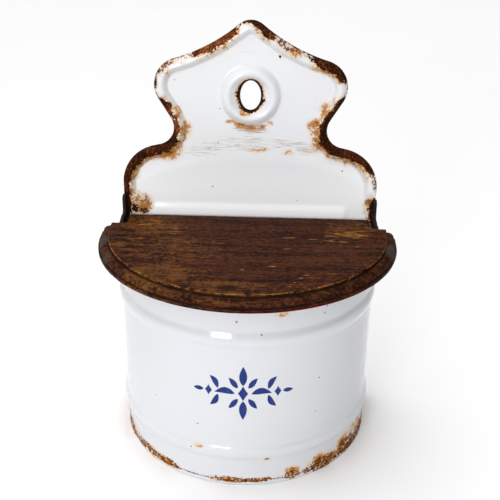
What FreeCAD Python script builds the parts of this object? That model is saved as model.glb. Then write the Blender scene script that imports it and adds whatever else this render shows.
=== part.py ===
import FreeCAD, Part
import Sketcher
import math
import os

# Enamelled salt box: a pressed back plate with a crest, a round-fronted bin with two swaged beads, a seamed
# base and a moulded wooden lid that turns on two nails between riveted lugs.
# Millimetres, +Z up, the front faces -Y, origin on the floor at the middle of the whole box.

# Driving sizes: alias, number, meaning
SIZES = (
    ("sheet_gauge", 1.2, "enamelled sheet of all pressings"),
    ("plate_margin", 1.3, "edge of the back plate past the wall"),
    ("crest_height", 39.5, "widest place of the bulges to the top of the crest"),
    ("peak_round", 11.0, "radius of the crest's peak"),
    ("flank_round", 112.0, "radius of the hollow flanks beside the peak"),
    ("bulge_round", 16.7, "radius of the crest's side bulges"),
    ("bulge_reach", 58.6, "middle of the plate to the outside of a bulge"),
    ("neck_round", 11.5, "radius of the necks under the bulges"),
    ("neck_inset", 11.3, "outside of a bulge in to the narrowest place of its neck"),
    ("neck_run", 13.88, "straight run between neck and bulge"),
    ("shoulder_round", 26.0, "radius of the plate's shoulders"),
    ("shoulder_run", 4.3, "straight run between shoulder and neck"),
    ("shoulder_rise", 7.3, "top of a lug to where a shoulder starts to turn in"),
    ("rim_lip", 0.8, "flat lip outside the rim bead"),
    ("rim_width", 7.0, "rim bead, across"),
    ("rim_rise", 3.0, "rim bead, above the plate's face"),
    ("rim_gap", 0.8, "top of a lug to the lower end of the rim bead"),
    ("hole_drop", 45.0, "top of the crest to the middle of the hanging hole"),
    ("hole_width", 12.6, "hanging hole, side to side"),
    ("hole_length", 18.2, "hanging hole, top to bottom"),
    ("hole_round", 4.8, "radius of the hanging hole's ends"),
    ("boss_margin", 0.5, "end of the hole to the ring boss"),
    ("boss_width", 8.6, "ring boss, across its bead"),
    ("boss_rise", 3.4, "ring boss, above the plate's face"),
    ("swage_gap", 0.6, "top of the lid to the foot of the plate's swage"),
    ("swage_width", 7.6, "that swage, top to bottom"),
    ("swage_rise", 1.2, "that swage, above the plate's face"),
    ("swage_inset", 16.0, "edge of the plate to the end of that swage"),
    ("swage_corner", 3.2, "corners of that swage, seen from the front"),
    ("swage_edge", 1.0, "front edge of that swage"),
    ("wall_radius", 79.2, "outside of the bin's round front"),
    ("wall_straight", 2.1, "end of the rolled edge to the axis of the round front"),
    ("bead_width", 10.0, "swaged bead, top to bottom"),
    ("bead_rise", 1.8, "swaged bead, out from the wall"),
    ("lower_bead", 19.3, "floor to the lower bead"),
    ("bead_drop", 30.1, "underside of the lid to the foot of the upper bead"),
    ("roll_radius", 2.0, "rolled top edge of the wall"),
    ("roll_gap", 2.8, "front of a lug to the end of the rolled edge"),
    ("flange_width", 9.0, "turned-in flanges of the wall, along the plate"),
    ("flange_margin", 3.0, "beads to the ends of those flanges"),
    ("hem_height", 3.6, "band of the base under the wall"),
    ("hem_round", 1.1, "lower edge of that band"),
    ("pan_height", 9.0, "floor to the top of the base's inner flange"),
    ("seam_gap", 0.1, "base flange to the inside of the wall"),
    ("lid_height", 127.0, "floor to the underside of the lid"),
    ("lid_thickness", 8.5, "lid board"),
    ("lid_overhang", 13.2, "lid edge past the wall"),
    ("lid_gap", 0.3, "underside of the lid to the rolled edge"),
    ("notch_gap", 0.6, "front of a lug to the lid's rear corner"),
    ("tongue_clearance", 2.7, "lug to the side of the lid's tongue"),
    ("tongue_gap", 2.6, "plate to the rear edge of the lid"),
    ("tongue_round", 1.2, "rear edges of the lid"),
    ("moulding_flat", 1.1, "flat between the round and the step of the lid's moulding"),
    ("step_height", 2.2, "step up to the lid's raised middle"),
    ("fillet_height", 2.1, "square fillet at the foot of the moulding"),
    ("fillet_ledge", 0.9, "ledge over that fillet"),
    ("plateau_round", 0.8, "upper edge of the lid's raised middle"),
    ("pivot_setback", 10.5, "plate to the nails' axis"),
    ("lug_gauge", 1.8, "iron of the lugs"),
    ("lug_rise", 16.95, "nails' axis to the top of a lug"),
    ("lug_clearance", 1.5, "upper bead to the foot of a lug"),
    ("lug_corner", 4.0, "front corner at the foot of a lug"),
    ("knuckle_radius", 6.2, "lug round the nail"),
    ("tail_width", 4.6, "upper end of a lug, out from the plate"),
    ("tail_blend", 3.0, "hollow between knuckle and tail"),
    ("tail_round", 2.6, "front corner at the top of a lug"),
    ("nail_radius", 1.5, "shank of a pivot nail"),
    ("nail_fit", 0.08, "nail in its lug, on the radius"),
    ("nail_hold", 14.0, "nail in the wood"),
    ("nail_point", 3.0, "point of a nail"),
    ("drill_spare", 1.0, "drilled hole past the nail's point"),
    ("head_radius", 3.4, "head of a nail"),
    ("head_thickness", 1.3, "head of a nail, edge and dome"),
    ("head_dome", 0.7, "dome of a nail's head"),
    ("head_gap", 0.3, "lug to the nail's head"),
    ("rivet_radius", 1.6, "shank of a lug rivet"),
    ("rivet_head", 2.8, "radius of a rivet's heads"),
    ("rivet_dome", 1.2, "height of a rivet's heads"),
    ("rivet_setback", 8.0, "plate to the rivets"),
    ("rivet_margin", 4.6, "foot of a lug to its lower rivet"),
    ("rivet_pitch", 8.0, "lower rivet to upper rivet"),
)

doc = FreeCAD.newDocument("SaltBox")
sheet = doc.addObject("Spreadsheet::Sheet", "Sizes")
for row, (alias, number, meaning) in enumerate(SIZES, start=1):
    sheet.set(f"A{row}", meaning)
    sheet.set(f"B{row}", str(number))
    sheet.setAlias(f"B{row}", alias)
doc.recompute()


class Length:
    """A length that knows its number and the expression that drives it."""

    def __init__(self, number, text):
        self.number = number
        self.text = text

    def joined(self, sign, other, number):
        return Length(number, f"({self.text} {sign} {other.text})")

    def __add__(self, other):
        other = length(other)
        return self.joined("+", other, self.number + other.number)

    def __sub__(self, other):
        other = length(other)
        return self.joined("-", other, self.number - other.number)

    def __mul__(self, other):
        other = length(other)
        return self.joined("*", other, self.number * other.number)

    def __truediv__(self, other):
        other = length(other)
        return self.joined("/", other, self.number / other.number)

    def __neg__(self):
        return self * -1

    def root(self):
        return Length(math.sqrt(self.number), f"sqrt({self.text})")


def length(value):
    """The value itself, or a plain number as a fixed length."""
    return value if isinstance(value, Length) else Length(float(value), f"({float(value)})")


def size(alias):
    """A driving size from the sheet."""
    return Length(float(getattr(sheet, alias)), f"Sizes.{alias}")


def leg(long_side, short_side):
    """The other side of a right-angled triangle."""
    return (long_side * long_side - short_side * short_side).root()


def arc_radius(chord, rise):
    """Radius of the arc that rises so far over its chord."""
    return (chord * chord / 4 + rise * rise) / (rise * 2)


def drop(radii, run, across):
    """Height between the centres of two arcs that a straight run joins, when they lie so far across."""
    return (radii * radii + run * run - across * across).root()


# Places that several pieces share, measured from the middle, the back plane or the floor
gauge = size("sheet_gauge")
wall_radius = size("wall_radius")
half_plate = wall_radius + size("plate_margin")
half_tongue = wall_radius - size("tongue_clearance")
lid_radius = wall_radius + size("lid_overhang")

pivot_depth = gauge + size("pivot_setback")
lug_front = pivot_depth + size("knuckle_radius")
roll_end = lug_front + size("roll_gap")
front_axis = roll_end + size("wall_straight")
back_plane = (front_axis + lid_radius) / 2
rivet_depth = gauge + size("rivet_setback")

lid_top = size("lid_height") + size("lid_thickness")
pivot_height = size("lid_height") + size("lid_thickness") / 2
roll_height = size("lid_height") - size("lid_gap") - size("roll_radius")
upper_bead = size("lid_height") - size("bead_drop")
lug_foot = upper_bead + size("bead_width") + size("lug_clearance")
lug_top = pivot_height + size("lug_rise")
lower_rivet = lug_foot + size("rivet_margin")
rivet_heights = (lower_rivet, lower_rivet + size("rivet_pitch"))

# The crest stands on the shoulders, and each bend of its outline on the one below
neck_reach = size("bulge_reach") - size("neck_inset")
lower_radii = size("shoulder_round") + size("neck_round")
upper_radii = size("neck_round") + size("bulge_round")
rim_foot = lug_top + size("rim_gap")
shoulder_height = lug_top + size("shoulder_rise")
neck_height = shoulder_height + drop(lower_radii, size("shoulder_run"), lower_radii - half_plate + neck_reach)
bulge_height = neck_height + drop(upper_radii, size("neck_run"), upper_radii - size("neck_inset"))
crest_top = bulge_height + size("crest_height")
hole_height = crest_top - size("hole_drop")
boss_radius = size("hole_length") / 2 + size("boss_margin") + size("boss_width") / 2

LEFT, RIGHT = -1, 1
ORIGIN_POINT = (-1, 1)
HORIZONTAL_AXIS, VERTICAL_AXIS = range(-1, -3, -1)
START, END, CENTRE = range(1, 4)


def new_body(label):
    """A body whose own back plane lies where the box touches the wall behind it."""
    body = doc.addObject("PartDesign::Body", label)
    body.Label = label
    body.setExpression("Placement.Base.y", back_plane.text)
    return body


def origin_plane(body, role):
    return next(item for item in body.Origin.OriginFeatures if item.Role == role)


class Drawing:
    """A sketch in one of its body's own planes, whose points are bound to the sheet."""

    def __init__(self, body, name, role, across=0, up=0, lift=0):
        self.sketch = body.newObject("Sketcher::SketchObject", name)
        self.sketch.AttachmentSupport = [(origin_plane(body, role), "")]
        self.sketch.MapMode = "FlatFace"
        for axis, distance in zip("xyz", (across, up, lift)):
            if isinstance(distance, Length):
                self.sketch.setExpression(f"AttachmentOffset.Base.{axis}", distance.text)
        self.tail = None
        self.head = None
        self.at = None
        self.first = None

    def bind(self, kind, refs, distance):
        """Adds a dimension and ties it to its expression."""
        index = self.sketch.addConstraint(Sketcher.Constraint(kind, *refs, distance.number))
        name = f"{kind.lower()}_{index}"
        self.sketch.renameConstraint(index, name)
        self.sketch.setExpression(f"Constraints.{name}", distance.text)

    def hold(self, point, x, y):
        """Ties a point to its place."""
        for kind, axis, place in (("DistanceX", VERTICAL_AXIS, x), ("DistanceY", HORIZONTAL_AXIS, y)):
            if isinstance(place, Length):
                self.bind(kind, (*ORIGIN_POINT, *point), place)
            else:
                self.sketch.addConstraint(Sketcher.Constraint("PointOnObject", *point, axis))

    def add(self, curve):
        return self.sketch.addGeometry(curve, False)

    def start(self, x, y):
        """Begins a chain of lines and arcs."""
        self.at = (x, y)
        self.first = (x, y)
        self.tail = None
        self.head = None

    def step(self, curve, begin, end, place):
        """Adds the chain's next curve, which ends at the place, or closes the chain."""
        index = self.add(curve)
        if self.tail is None:
            self.head = (index, begin)
            self.hold(self.head, *self.first)
        else:
            self.sketch.addConstraint(Sketcher.Constraint("Coincident", *self.tail, index, begin))
        self.tail = (index, end)
        if place is self.first:
            self.sketch.addConstraint(Sketcher.Constraint("Coincident", *self.tail, *self.head))
        else:
            self.hold(self.tail, *place)
        self.at = place
        return index

    def line(self, x, y):
        self.line_to((x, y))

    def line_to(self, place):
        self.step(Part.LineSegment(point(*self.at), point(*place)), START, END, place)

    def arc(self, x, y, radius, turn):
        """An arc of under half a circle that turns left or right on its way."""
        self.arc_to((x, y), radius, turn)

    def arc_to(self, place, radius, turn):
        begin = point(*self.at)
        end = point(*place)
        chord = end - begin
        sideways = FreeCAD.Vector(-chord.y, chord.x, 0).normalize()
        reach = math.sqrt(radius.number ** 2 - (chord.Length / 2) ** 2)
        centre = begin + chord * 0.5 - sideways * (turn * reach)
        if turn == LEFT:
            index = self.step(circle_arc(centre, radius.number, begin, end), START, END, place)
        else:
            index = self.step(circle_arc(centre, radius.number, end, begin), END, START, place)
        self.bind("Radius", (index,), radius)

    def close(self):
        self.line_to(self.first)

    def close_arc(self, radius, turn):
        self.arc_to(self.first, radius, turn)

    def circle(self, x, y, radius):
        index = self.add(Part.Circle(point(x, y), FreeCAD.Vector(0, 0, 1), radius.number))
        self.hold((index, CENTRE), x, y)
        self.bind("Radius", (index,), radius)

    def held_arc(self, centre, radius, begin, end):
        """An arc with its centre and radius tied, and its ends free to meet what it touches."""
        index = self.add(circle_arc(point(*centre), radius.number, begin, end))
        self.hold((index, CENTRE), *centre)
        self.bind("Radius", (index,), radius)
        return index

    def touch(self, curve, end, other, begin):
        """Joins two ends so that the curves run smoothly into each other."""
        self.sketch.addConstraint(Sketcher.Constraint("Tangent", curve, end, other, begin))


def point(x, y):
    return FreeCAD.Vector(length(x).number, length(y).number, 0)


def angle(centre, place):
    return math.atan2(place.y - centre.y, place.x - centre.x)


def circle_arc(centre, radius, begin, end):
    """The arc that runs left about the centre, from one place to the other."""
    circle = Part.Circle(centre, FreeCAD.Vector(0, 0, 1), radius)
    return Part.ArcOfCircle(circle, angle(centre, begin), angle(centre, end))


def pad(body, name, drawing, depth, reverse=False):
    feature = body.newObject("PartDesign::Pad", name)
    feature.Profile = drawing.sketch
    feature.setExpression("Length", depth.text)
    feature.Reversed = reverse
    return feature


def pocket(body, name, drawing, depth, reverse=False):
    feature = body.newObject("PartDesign::Pocket", name)
    feature.Profile = drawing.sketch
    feature.setExpression("Length", depth.text)
    feature.Reversed = reverse
    return feature


def sweep(body, kind, name, section, path):
    """Carries a section along a flat path."""
    feature = body.newObject(f"PartDesign::{kind}", name)
    feature.Profile = section.sketch
    feature.Spine = path.sketch
    return feature


def turned(body, kind, name, drawing, axis):
    """Turns a profile fully round one of its sketch's axes."""
    feature = body.newObject(f"PartDesign::{kind}", name)
    feature.Profile = drawing.sketch
    feature.ReferenceAxis = (drawing.sketch, [axis])
    feature.Angle = 360
    return feature


def rounded(body, name, base, radius, wanted):
    """Rounds those edges of the feature that the test picks."""
    doc.recompute()
    names = [f"Edge{n}" for n, edge in enumerate(base.Shape.Edges, start=1) if wanted(edge)]
    feature = body.newObject("PartDesign::Fillet", name)
    feature.Base = (base, names)
    feature.setExpression("Radius", radius.text)
    return feature


def runs_at(edge, axis, distance):
    """Tells whether an edge lies wholly at one distance along an axis."""
    spots = [vertex.Point[axis] for vertex in edge.Vertexes]
    return all(math.isclose(spot, distance, abs_tol=1e-4) for spot in spots)


UP = FreeCAD.Vector(0, 0, 1)
Y, Z = range(1, 3)


def round_front(drawing, radius, rear):
    """A path along the bin: straight side, round front, straight side."""
    drawing.start(-radius, -rear)
    drawing.line(-radius, -front_axis)
    drawing.arc(0, -(front_axis + radius), radius, LEFT)
    drawing.arc(radius, -front_axis, radius, LEFT)
    drawing.line(radius, -rear)


def crest_side(drawing, inset, foot, side):
    """One side of the crest's outline, from its foot to the peak; returns its lower and upper ends."""

    def mirrored(x, z):
        return (x * side, z)

    shoulder_round = size("shoulder_round")
    neck_round = size("neck_round")
    bulge_round = size("bulge_round")
    shoulder = mirrored(half_plate - shoulder_round, shoulder_height)
    neck = mirrored(neck_reach + neck_round, neck_height)
    bulge = mirrored(size("bulge_reach") - bulge_round, bulge_height)
    peak = (0, crest_top - size("peak_round"))
    outer = shoulder_round - inset
    hollow = neck_round + inset
    inner = bulge_round - inset
    flank = size("flank_round") + inset
    top = size("peak_round") - inset
    # the hollow flank touches the bulge and the peak, which places its centre
    flank_centre = touching_centre(point(*bulge), inner + flank, point(*peak), top + flank, side)
    edge = half_plate - inset
    low_end = mirrored(edge, foot)
    side_top = point(*mirrored(edge, shoulder_height))
    leave_shoulder, meet_neck = crossing_line(point(*shoulder), outer, point(*neck), hollow, side)
    leave_neck, meet_bulge = crossing_line(point(*neck), hollow, point(*bulge), inner, -side)
    meet_flank = between(point(*bulge), flank_centre, inner)
    meet_peak = between(point(*peak), flank_centre, top)

    def arc(centre, radius, begin, end, held=True):
        if side == LEFT:
            begin, end = end, begin
        if held:
            return drawing.held_arc(centre, radius, begin, end)
        index = drawing.add(circle_arc(flank_centre, radius.number, begin, end))
        drawing.bind("Radius", (index,), radius)
        return index

    upright = drawing.add(Part.LineSegment(point(*low_end), side_top))
    drawing.hold((upright, START), *low_end)
    shoulder_arc = arc(shoulder, outer, side_top, leave_shoulder)
    shoulder_line = drawing.add(Part.LineSegment(leave_shoulder, meet_neck))
    neck_arc = arc(neck, hollow, leave_neck, meet_neck)
    neck_line = drawing.add(Part.LineSegment(leave_neck, meet_bulge))
    bulge_arc = arc(bulge, inner, meet_bulge, meet_flank)
    flank_arc = arc(None, flank, meet_peak, meet_flank, held=False)
    near, far = (START, END) if side == RIGHT else (END, START)
    drawing.touch(upright, END, shoulder_arc, near)
    drawing.touch(shoulder_arc, far, shoulder_line, START)
    drawing.touch(shoulder_line, END, neck_arc, far)
    drawing.touch(neck_arc, near, neck_line, START)
    drawing.touch(neck_line, END, bulge_arc, near)
    drawing.touch(bulge_arc, far, flank_arc, far)
    return upright, flank_arc, near, meet_peak


def touching_centre(first, first_reach, second, second_reach, side):
    """The point at two given distances from two centres, on the outer side."""
    apart = second - first
    along = (apart.Length ** 2 + first_reach.number ** 2 - second_reach.number ** 2) / (2 * apart.Length)
    sideways = FreeCAD.Vector(apart.y, -apart.x, 0).normalize() * side
    unit = FreeCAD.Vector(apart).normalize()
    return first + unit * along + sideways * math.sqrt(first_reach.number ** 2 - along ** 2)


def crossing_line(first, first_radius, second, second_radius, side):
    """Ends of the straight run that leaves one circle and crosses to the other side of the next."""
    apart = second - first
    turn = math.asin((first_radius.number + second_radius.number) / apart.Length)
    heading = FreeCAD.Rotation(UP, math.degrees(turn * side)).multVec(apart).normalize()
    outward = FreeCAD.Vector(heading.y, -heading.x, 0) * side
    return first + outward * first_radius.number, second - outward * second_radius.number


def between(centre, other, radius):
    """The point of a circle that faces another place."""
    return centre + (other - centre).normalize() * radius.number


def crest(drawing, inset, foot):
    """The crest's outline, open at its foot; returns its two lower lines."""
    right_line, right_flank, right_end, right_top = crest_side(drawing, inset, foot, RIGHT)
    left_line, left_flank, left_end, left_top = crest_side(drawing, inset, foot, LEFT)
    peak_round = size("peak_round")
    centre = (0, crest_top - peak_round)
    peak_arc = drawing.held_arc(centre, peak_round - inset, right_top, left_top)
    drawing.touch(right_flank, right_end, peak_arc, START)
    drawing.touch(left_flank, left_end, peak_arc, END)
    return left_line, right_line


def bead_section(drawing, middle, width, rise):
    """Half-round hump on the plate's face, sunk to half the gauge."""
    radius = arc_radius(width, rise)
    reach = leg(radius, radius - rise - gauge / 2)
    drawing.start(middle - reach, -(gauge / 2))
    drawing.arc(middle, -(gauge + rise), radius, LEFT)
    drawing.arc(middle + reach, -(gauge / 2), radius, LEFT)
    drawing.close()


def bead_hollow(drawing, middle, width, rise):
    """The hump's hollow back, which leaves the gauge all round and opens past the back plane."""
    radius = arc_radius(width, rise)
    reach = leg(radius - gauge, radius - rise - gauge)
    drawing.start(middle - reach, gauge)
    drawing.line(middle - reach, 0)
    drawing.arc(middle, -rise, radius - gauge, LEFT)
    drawing.arc(middle + reach, 0, radius - gauge, LEFT)
    drawing.line(middle + reach, gauge)
    drawing.close()


def round_cornered(drawing, reach, foot, top, corner):
    """A level box about the middle of the plate, with round corners."""
    drawing.start(corner - reach, foot)
    drawing.line(reach - corner, foot)
    drawing.arc(reach, foot + corner, corner, LEFT)
    drawing.line(reach, top - corner)
    drawing.arc(reach - corner, top, corner, LEFT)
    drawing.line(corner - reach, top)
    drawing.arc(-reach, top - corner, corner, LEFT)
    drawing.line(-reach, foot + corner)
    drawing.close_arc(corner, LEFT)


def make_back_plate():
    body = new_body("back_plate")
    outline = Drawing(body, "PlateOutline", "XZ_Plane")
    left_line, right_line = crest(outline, length(0), 0)
    foot = outline.add(Part.LineSegment(point(-half_plate, 0), point(half_plate, 0)))
    outline.sketch.addConstraint(Sketcher.Constraint("Coincident", left_line, START, foot, START))
    outline.sketch.addConstraint(Sketcher.Constraint("Coincident", right_line, START, foot, END))
    pad(body, "Plate", outline, gauge)

    # level swage over the lid, hollow at its back
    foot_height = lid_top + size("swage_gap")
    top_height = foot_height + size("swage_width")
    reach = half_plate - size("swage_inset")
    crown = gauge + size("swage_rise")
    swage = Drawing(body, "SwageOutline", "XZ_Plane")
    round_cornered(swage, reach, foot_height, top_height, size("swage_corner"))
    raised = pad(body, "Swage", swage, crown)

    def swage_edge(edge):
        return runs_at(edge, Y, -crown.number)

    rounded(body, "SwageRound", raised, size("swage_edge"), swage_edge)
    hollow = Drawing(body, "SwageHollowOutline", "XZ_Plane")
    inner_corner = size("swage_corner") - gauge
    round_cornered(hollow, reach - gauge, foot_height + gauge, top_height - gauge, inner_corner)
    pocket(body, "SwageHollow", hollow, size("swage_rise"), reverse=True)

    # rim bead round the crest, pressed out of the sheet so that its back is hollow
    inset = size("rim_lip") + size("rim_width") / 2
    path = Drawing(body, "RimPath", "XZ_Plane")
    crest(path, inset, rim_foot)
    section = Drawing(body, "RimSection", "XY_Plane", lift=rim_foot)
    bead_section(section, half_plate - inset, size("rim_width"), size("rim_rise"))
    sweep(body, "AdditivePipe", "RimBead", section, path)
    hollow = Drawing(body, "RimHollowSection", "XY_Plane", lift=rim_foot)
    bead_hollow(hollow, half_plate - inset, size("rim_width"), size("rim_rise"))
    sweep(body, "SubtractivePipe", "RimHollow", hollow, path)

    # ring boss round the hanging hole
    ring = Drawing(body, "BossSection", "XY_Plane", lift=hole_height)
    bead_section(ring, boss_radius, size("boss_width"), size("boss_rise"))
    turned(body, "Revolution", "Boss", ring, "V_Axis")
    ring_hollow = Drawing(body, "BossHollowSection", "XY_Plane", lift=hole_height)
    bead_hollow(ring_hollow, boss_radius, size("boss_width"), size("boss_rise"))
    turned(body, "Groove", "BossHollow", ring_hollow, "V_Axis")

    # upright oval hole of four arcs
    oval = Drawing(body, "HoleOutline", "XZ_Plane", up=hole_height)
    end_round = size("hole_round")
    end_centre = size("hole_length") / 2 - end_round
    spare = size("hole_width") / 2 - end_round
    side_offset = (end_centre * end_centre - spare * spare) / (spare * 2)
    side_round = side_offset + size("hole_width") / 2
    share = side_round / (side_round - end_round)
    join_x = share * side_offset - side_offset
    join_z = share * end_centre
    oval.start(join_x, -join_z)
    oval.arc(join_x, join_z, side_round, LEFT)
    oval.arc(-join_x, join_z, end_round, LEFT)
    oval.arc(-join_x, -join_z, side_round, LEFT)
    oval.close_arc(end_round, LEFT)
    pocket(body, "HangingHole", oval, gauge, reverse=True)
    return body


def make_front_wall():
    body = new_body("front_wall")
    path = Drawing(body, "WallPath", "XY_Plane")
    round_front(path, wall_radius, gauge)
    rise = size("bead_rise")
    width = size("bead_width")
    radius = arc_radius(width, rise)
    half_inner = leg(radius - gauge, radius - rise - gauge)
    outside = -wall_radius
    inside = gauge - wall_radius
    beads = [foot + width / 2 for foot in (size("lower_bead"), upper_bead)]
    section = Drawing(body, "WallSection", "XZ_Plane", lift=gauge)
    section.start(outside, roll_height)
    for middle in reversed(beads):
        section.line(outside, middle + width / 2)
        section.arc(outside, middle - width / 2, radius, LEFT)
    section.line(outside, size("hem_height"))
    section.line(inside, size("hem_height"))
    for middle in beads:
        section.line(inside, middle - half_inner)
        section.arc(inside, middle + half_inner, radius - gauge, RIGHT)
    section.line(inside, roll_height)
    section.close()
    sweep(body, "AdditivePipe", "BeadedWall", section, path)

    # rolled top edge, which stops short of the lugs
    roll_path = Drawing(body, "RollPath", "XY_Plane")
    round_front(roll_path, wall_radius, roll_end)
    roll = Drawing(body, "RollSection", "XZ_Plane", lift=roll_end)
    roll.circle(gauge / 2 - wall_radius, roll_height, size("roll_radius"))
    sweep(body, "AdditivePipe", "RolledEdge", roll, roll_path)

    # turned-in flanges that lie on the back plate between the beads
    low = beads[0] + width / 2 + size("flange_margin")
    high = beads[1] - width / 2 - size("flange_margin")
    for side, name in ((LEFT, "Left"), (RIGHT, "Right")):
        flange = Drawing(body, f"{name}FlangeOutline", "XZ_Plane", lift=gauge)
        root = (wall_radius - gauge / 2) * side
        tip = (wall_radius - size("flange_width")) * side
        flange.start(root, low)
        flange.line(tip, low)
        flange.line(tip, high)
        flange.line(root, high)
        flange.close()
        pad(body, f"{name}Flange", flange, gauge)

    # holes for the rivets of the lugs
    for side, name in ((LEFT, "Left"), (RIGHT, "Right")):
        holes = Drawing(body, f"{name}RivetHoles", "YZ_Plane", lift=wall_radius * side)
        for height in rivet_heights:
            holes.circle(-rivet_depth, height, size("rivet_radius"))
        pocket(body, f"{name}Punching", holes, gauge, reverse=side == LEFT)
    return body


def d_outline(drawing, radius, rear):
    round_front(drawing, radius, rear)
    drawing.close()


def make_base_pan():
    body = new_body("base_pan")
    band = Drawing(body, "BandOutline", "XY_Plane")
    d_outline(band, wall_radius, gauge)
    pad(body, "Band", band, size("hem_height"))
    flange_radius = wall_radius - gauge - size("seam_gap")
    flange = Drawing(body, "FlangeOutline", "XY_Plane")
    d_outline(flange, flange_radius, gauge)
    base = pad(body, "Flange", flange, size("pan_height"))

    def hem_edge(edge):
        return runs_at(edge, Z, 0) and not runs_at(edge, Y, -gauge.number)

    rounded(body, "HemRound", base, size("hem_round"), hem_edge)
    tray = Drawing(body, "TrayOutline", "XY_Plane", lift=size("pan_height"))
    d_outline(tray, flange_radius - gauge, gauge * 2)
    pocket(body, "Tray", tray, size("pan_height") - gauge)
    return body


def make_hinge_lug(label, side):
    body = new_body(label)
    inner = wall_radius if side == RIGHT else -(wall_radius + size("lug_gauge"))
    knuckle = size("knuckle_radius")
    corner = size("lug_corner")
    blend = size("tail_blend")
    top_round = size("tail_round")
    front = -lug_front
    tail = -(gauge + size("tail_width"))
    # the hollow touches the knuckle and the front of the tail
    blend_y = tail - blend
    blend_z = pivot_height + leg(knuckle + blend, blend_y + pivot_depth)
    share = knuckle / (knuckle + blend)
    meet_y = -pivot_depth + (blend_y + pivot_depth) * share
    meet_z = pivot_height + (blend_z - pivot_height) * share
    outline = Drawing(body, "LugOutline", "YZ_Plane", lift=inner)
    outline.start(-gauge, lug_foot)
    outline.line(-gauge, lug_top)
    outline.line(tail + top_round, lug_top)
    outline.arc(tail, lug_top - top_round, top_round, LEFT)
    outline.line(tail, blend_z)
    outline.arc(meet_y, meet_z, blend, RIGHT)
    outline.arc(front, pivot_height, knuckle, LEFT)
    outline.line(front, lug_foot + corner)
    outline.arc(front + corner, lug_foot, corner, LEFT)
    outline.close()
    outline.circle(-pivot_depth, pivot_height, size("nail_radius") + size("nail_fit"))
    for height in rivet_heights:
        outline.circle(-rivet_depth, height, size("rivet_radius"))
    pad(body, "Lug", outline, size("lug_gauge"))
    return body


def make_lug_rivets():
    """Two rivets through each lug and the wall behind it."""
    outside = wall_radius + size("lug_gauge")
    inside = wall_radius - gauge
    dome = size("rivet_dome")
    dome_radius = arc_radius(size("rivet_head") * 2, dome)
    rivets = []
    for side, side_name in ((LEFT, "Left"), (RIGHT, "Right")):
        for place, height in zip(("Lower", "Upper"), rivet_heights):
            body = new_body(f"{side_name}{place}Rivet")
            profile = Drawing(body, "RivetProfile", "XZ_Plane", up=height, lift=rivet_depth)
            turn = LEFT if side == LEFT else RIGHT
            profile.start((inside - dome) * side, 0)
            profile.arc(inside * side, size("rivet_head"), dome_radius, turn)
            profile.line(inside * side, size("rivet_radius"))
            profile.line(outside * side, size("rivet_radius"))
            profile.line(outside * side, size("rivet_head"))
            profile.arc((outside + dome) * side, 0, dome_radius, turn)
            profile.close()
            turned(body, "Revolution", "Rivet", profile, "H_Axis")
            rivets.append(body)
    group = doc.addObject("Part::Compound", "lug_rivets")
    group.Label = "lug_rivets"
    group.Links = rivets
    return group


def make_lid_board():
    body = new_body("lid_board")
    rear = gauge + size("tongue_gap")
    notch = lug_front + size("notch_gap")
    board = Drawing(body, "BoardOutline", "XY_Plane", lift=size("lid_height"))
    board.start(-half_tongue, -rear)
    board.line(-half_tongue, -notch)
    board.line(-lid_radius, -notch)
    board.line(-lid_radius, -front_axis)
    board.arc(0, -(front_axis + lid_radius), lid_radius, LEFT)
    board.arc(lid_radius, -front_axis, lid_radius, LEFT)
    board.line(lid_radius, -notch)
    board.line(half_tongue, -notch)
    board.line(half_tongue, -rear)
    board.close()
    pad(body, "Board", board, size("lid_thickness"))

    # edge moulding: square fillet, ledge, ovolo and the step up to the raised middle
    spare = gauge
    path = Drawing(body, "MouldingPath", "XY_Plane", lift=size("lid_height"))
    round_front(path, lid_radius, notch - spare)
    ledge = size("lid_height") + size("fillet_height")
    ovolo = size("lid_thickness") - size("fillet_height") - size("step_height")
    foot = size("fillet_ledge") - lid_radius
    step = foot + ovolo + size("moulding_flat")
    section = Drawing(body, "MouldingSection", "XZ_Plane", lift=notch - spare)
    section.start(-(lid_radius + spare), ledge)
    section.line(foot, ledge)
    section.arc(foot + ovolo, ledge + ovolo, ovolo, RIGHT)
    section.line(step, ledge + ovolo)
    section.line(step, lid_top + spare)
    section.line(-(lid_radius + spare), lid_top + spare)
    section.close()
    moulded = sweep(body, "SubtractivePipe", "Moulding", section, path)

    def plateau_edge(edge):
        middles = [edge.valueAt(edge.LastParameter)]
        middles.append(edge.valueAt((edge.FirstParameter + edge.LastParameter) / 2))
        outside = all(abs(spot.x) > half_tongue.number or spot.y < -front_axis.number for spot in middles)
        return outside and runs_at(edge, Z, lid_top.number) and not runs_at(edge, Y, -notch.number)

    def rear_edge(edge):
        return runs_at(edge, Y, -rear.number) and edge.Length > half_tongue.number

    softened = rounded(body, "PlateauRound", moulded, size("plateau_round"), plateau_edge)
    rounded(body, "TongueRound", softened, size("tongue_round"), rear_edge)

    # drilled holes that hold the pivot nails
    for side, name in ((LEFT, "Left"), (RIGHT, "Right")):
        hole = Drawing(body, f"{name}DrillOutline", "YZ_Plane", lift=half_tongue * side)
        hole.circle(-pivot_depth, pivot_height, size("nail_radius"))
        pocket(body, f"{name}Drill", hole, size("nail_hold") + size("drill_spare"), reverse=side == LEFT)
    return body


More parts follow.
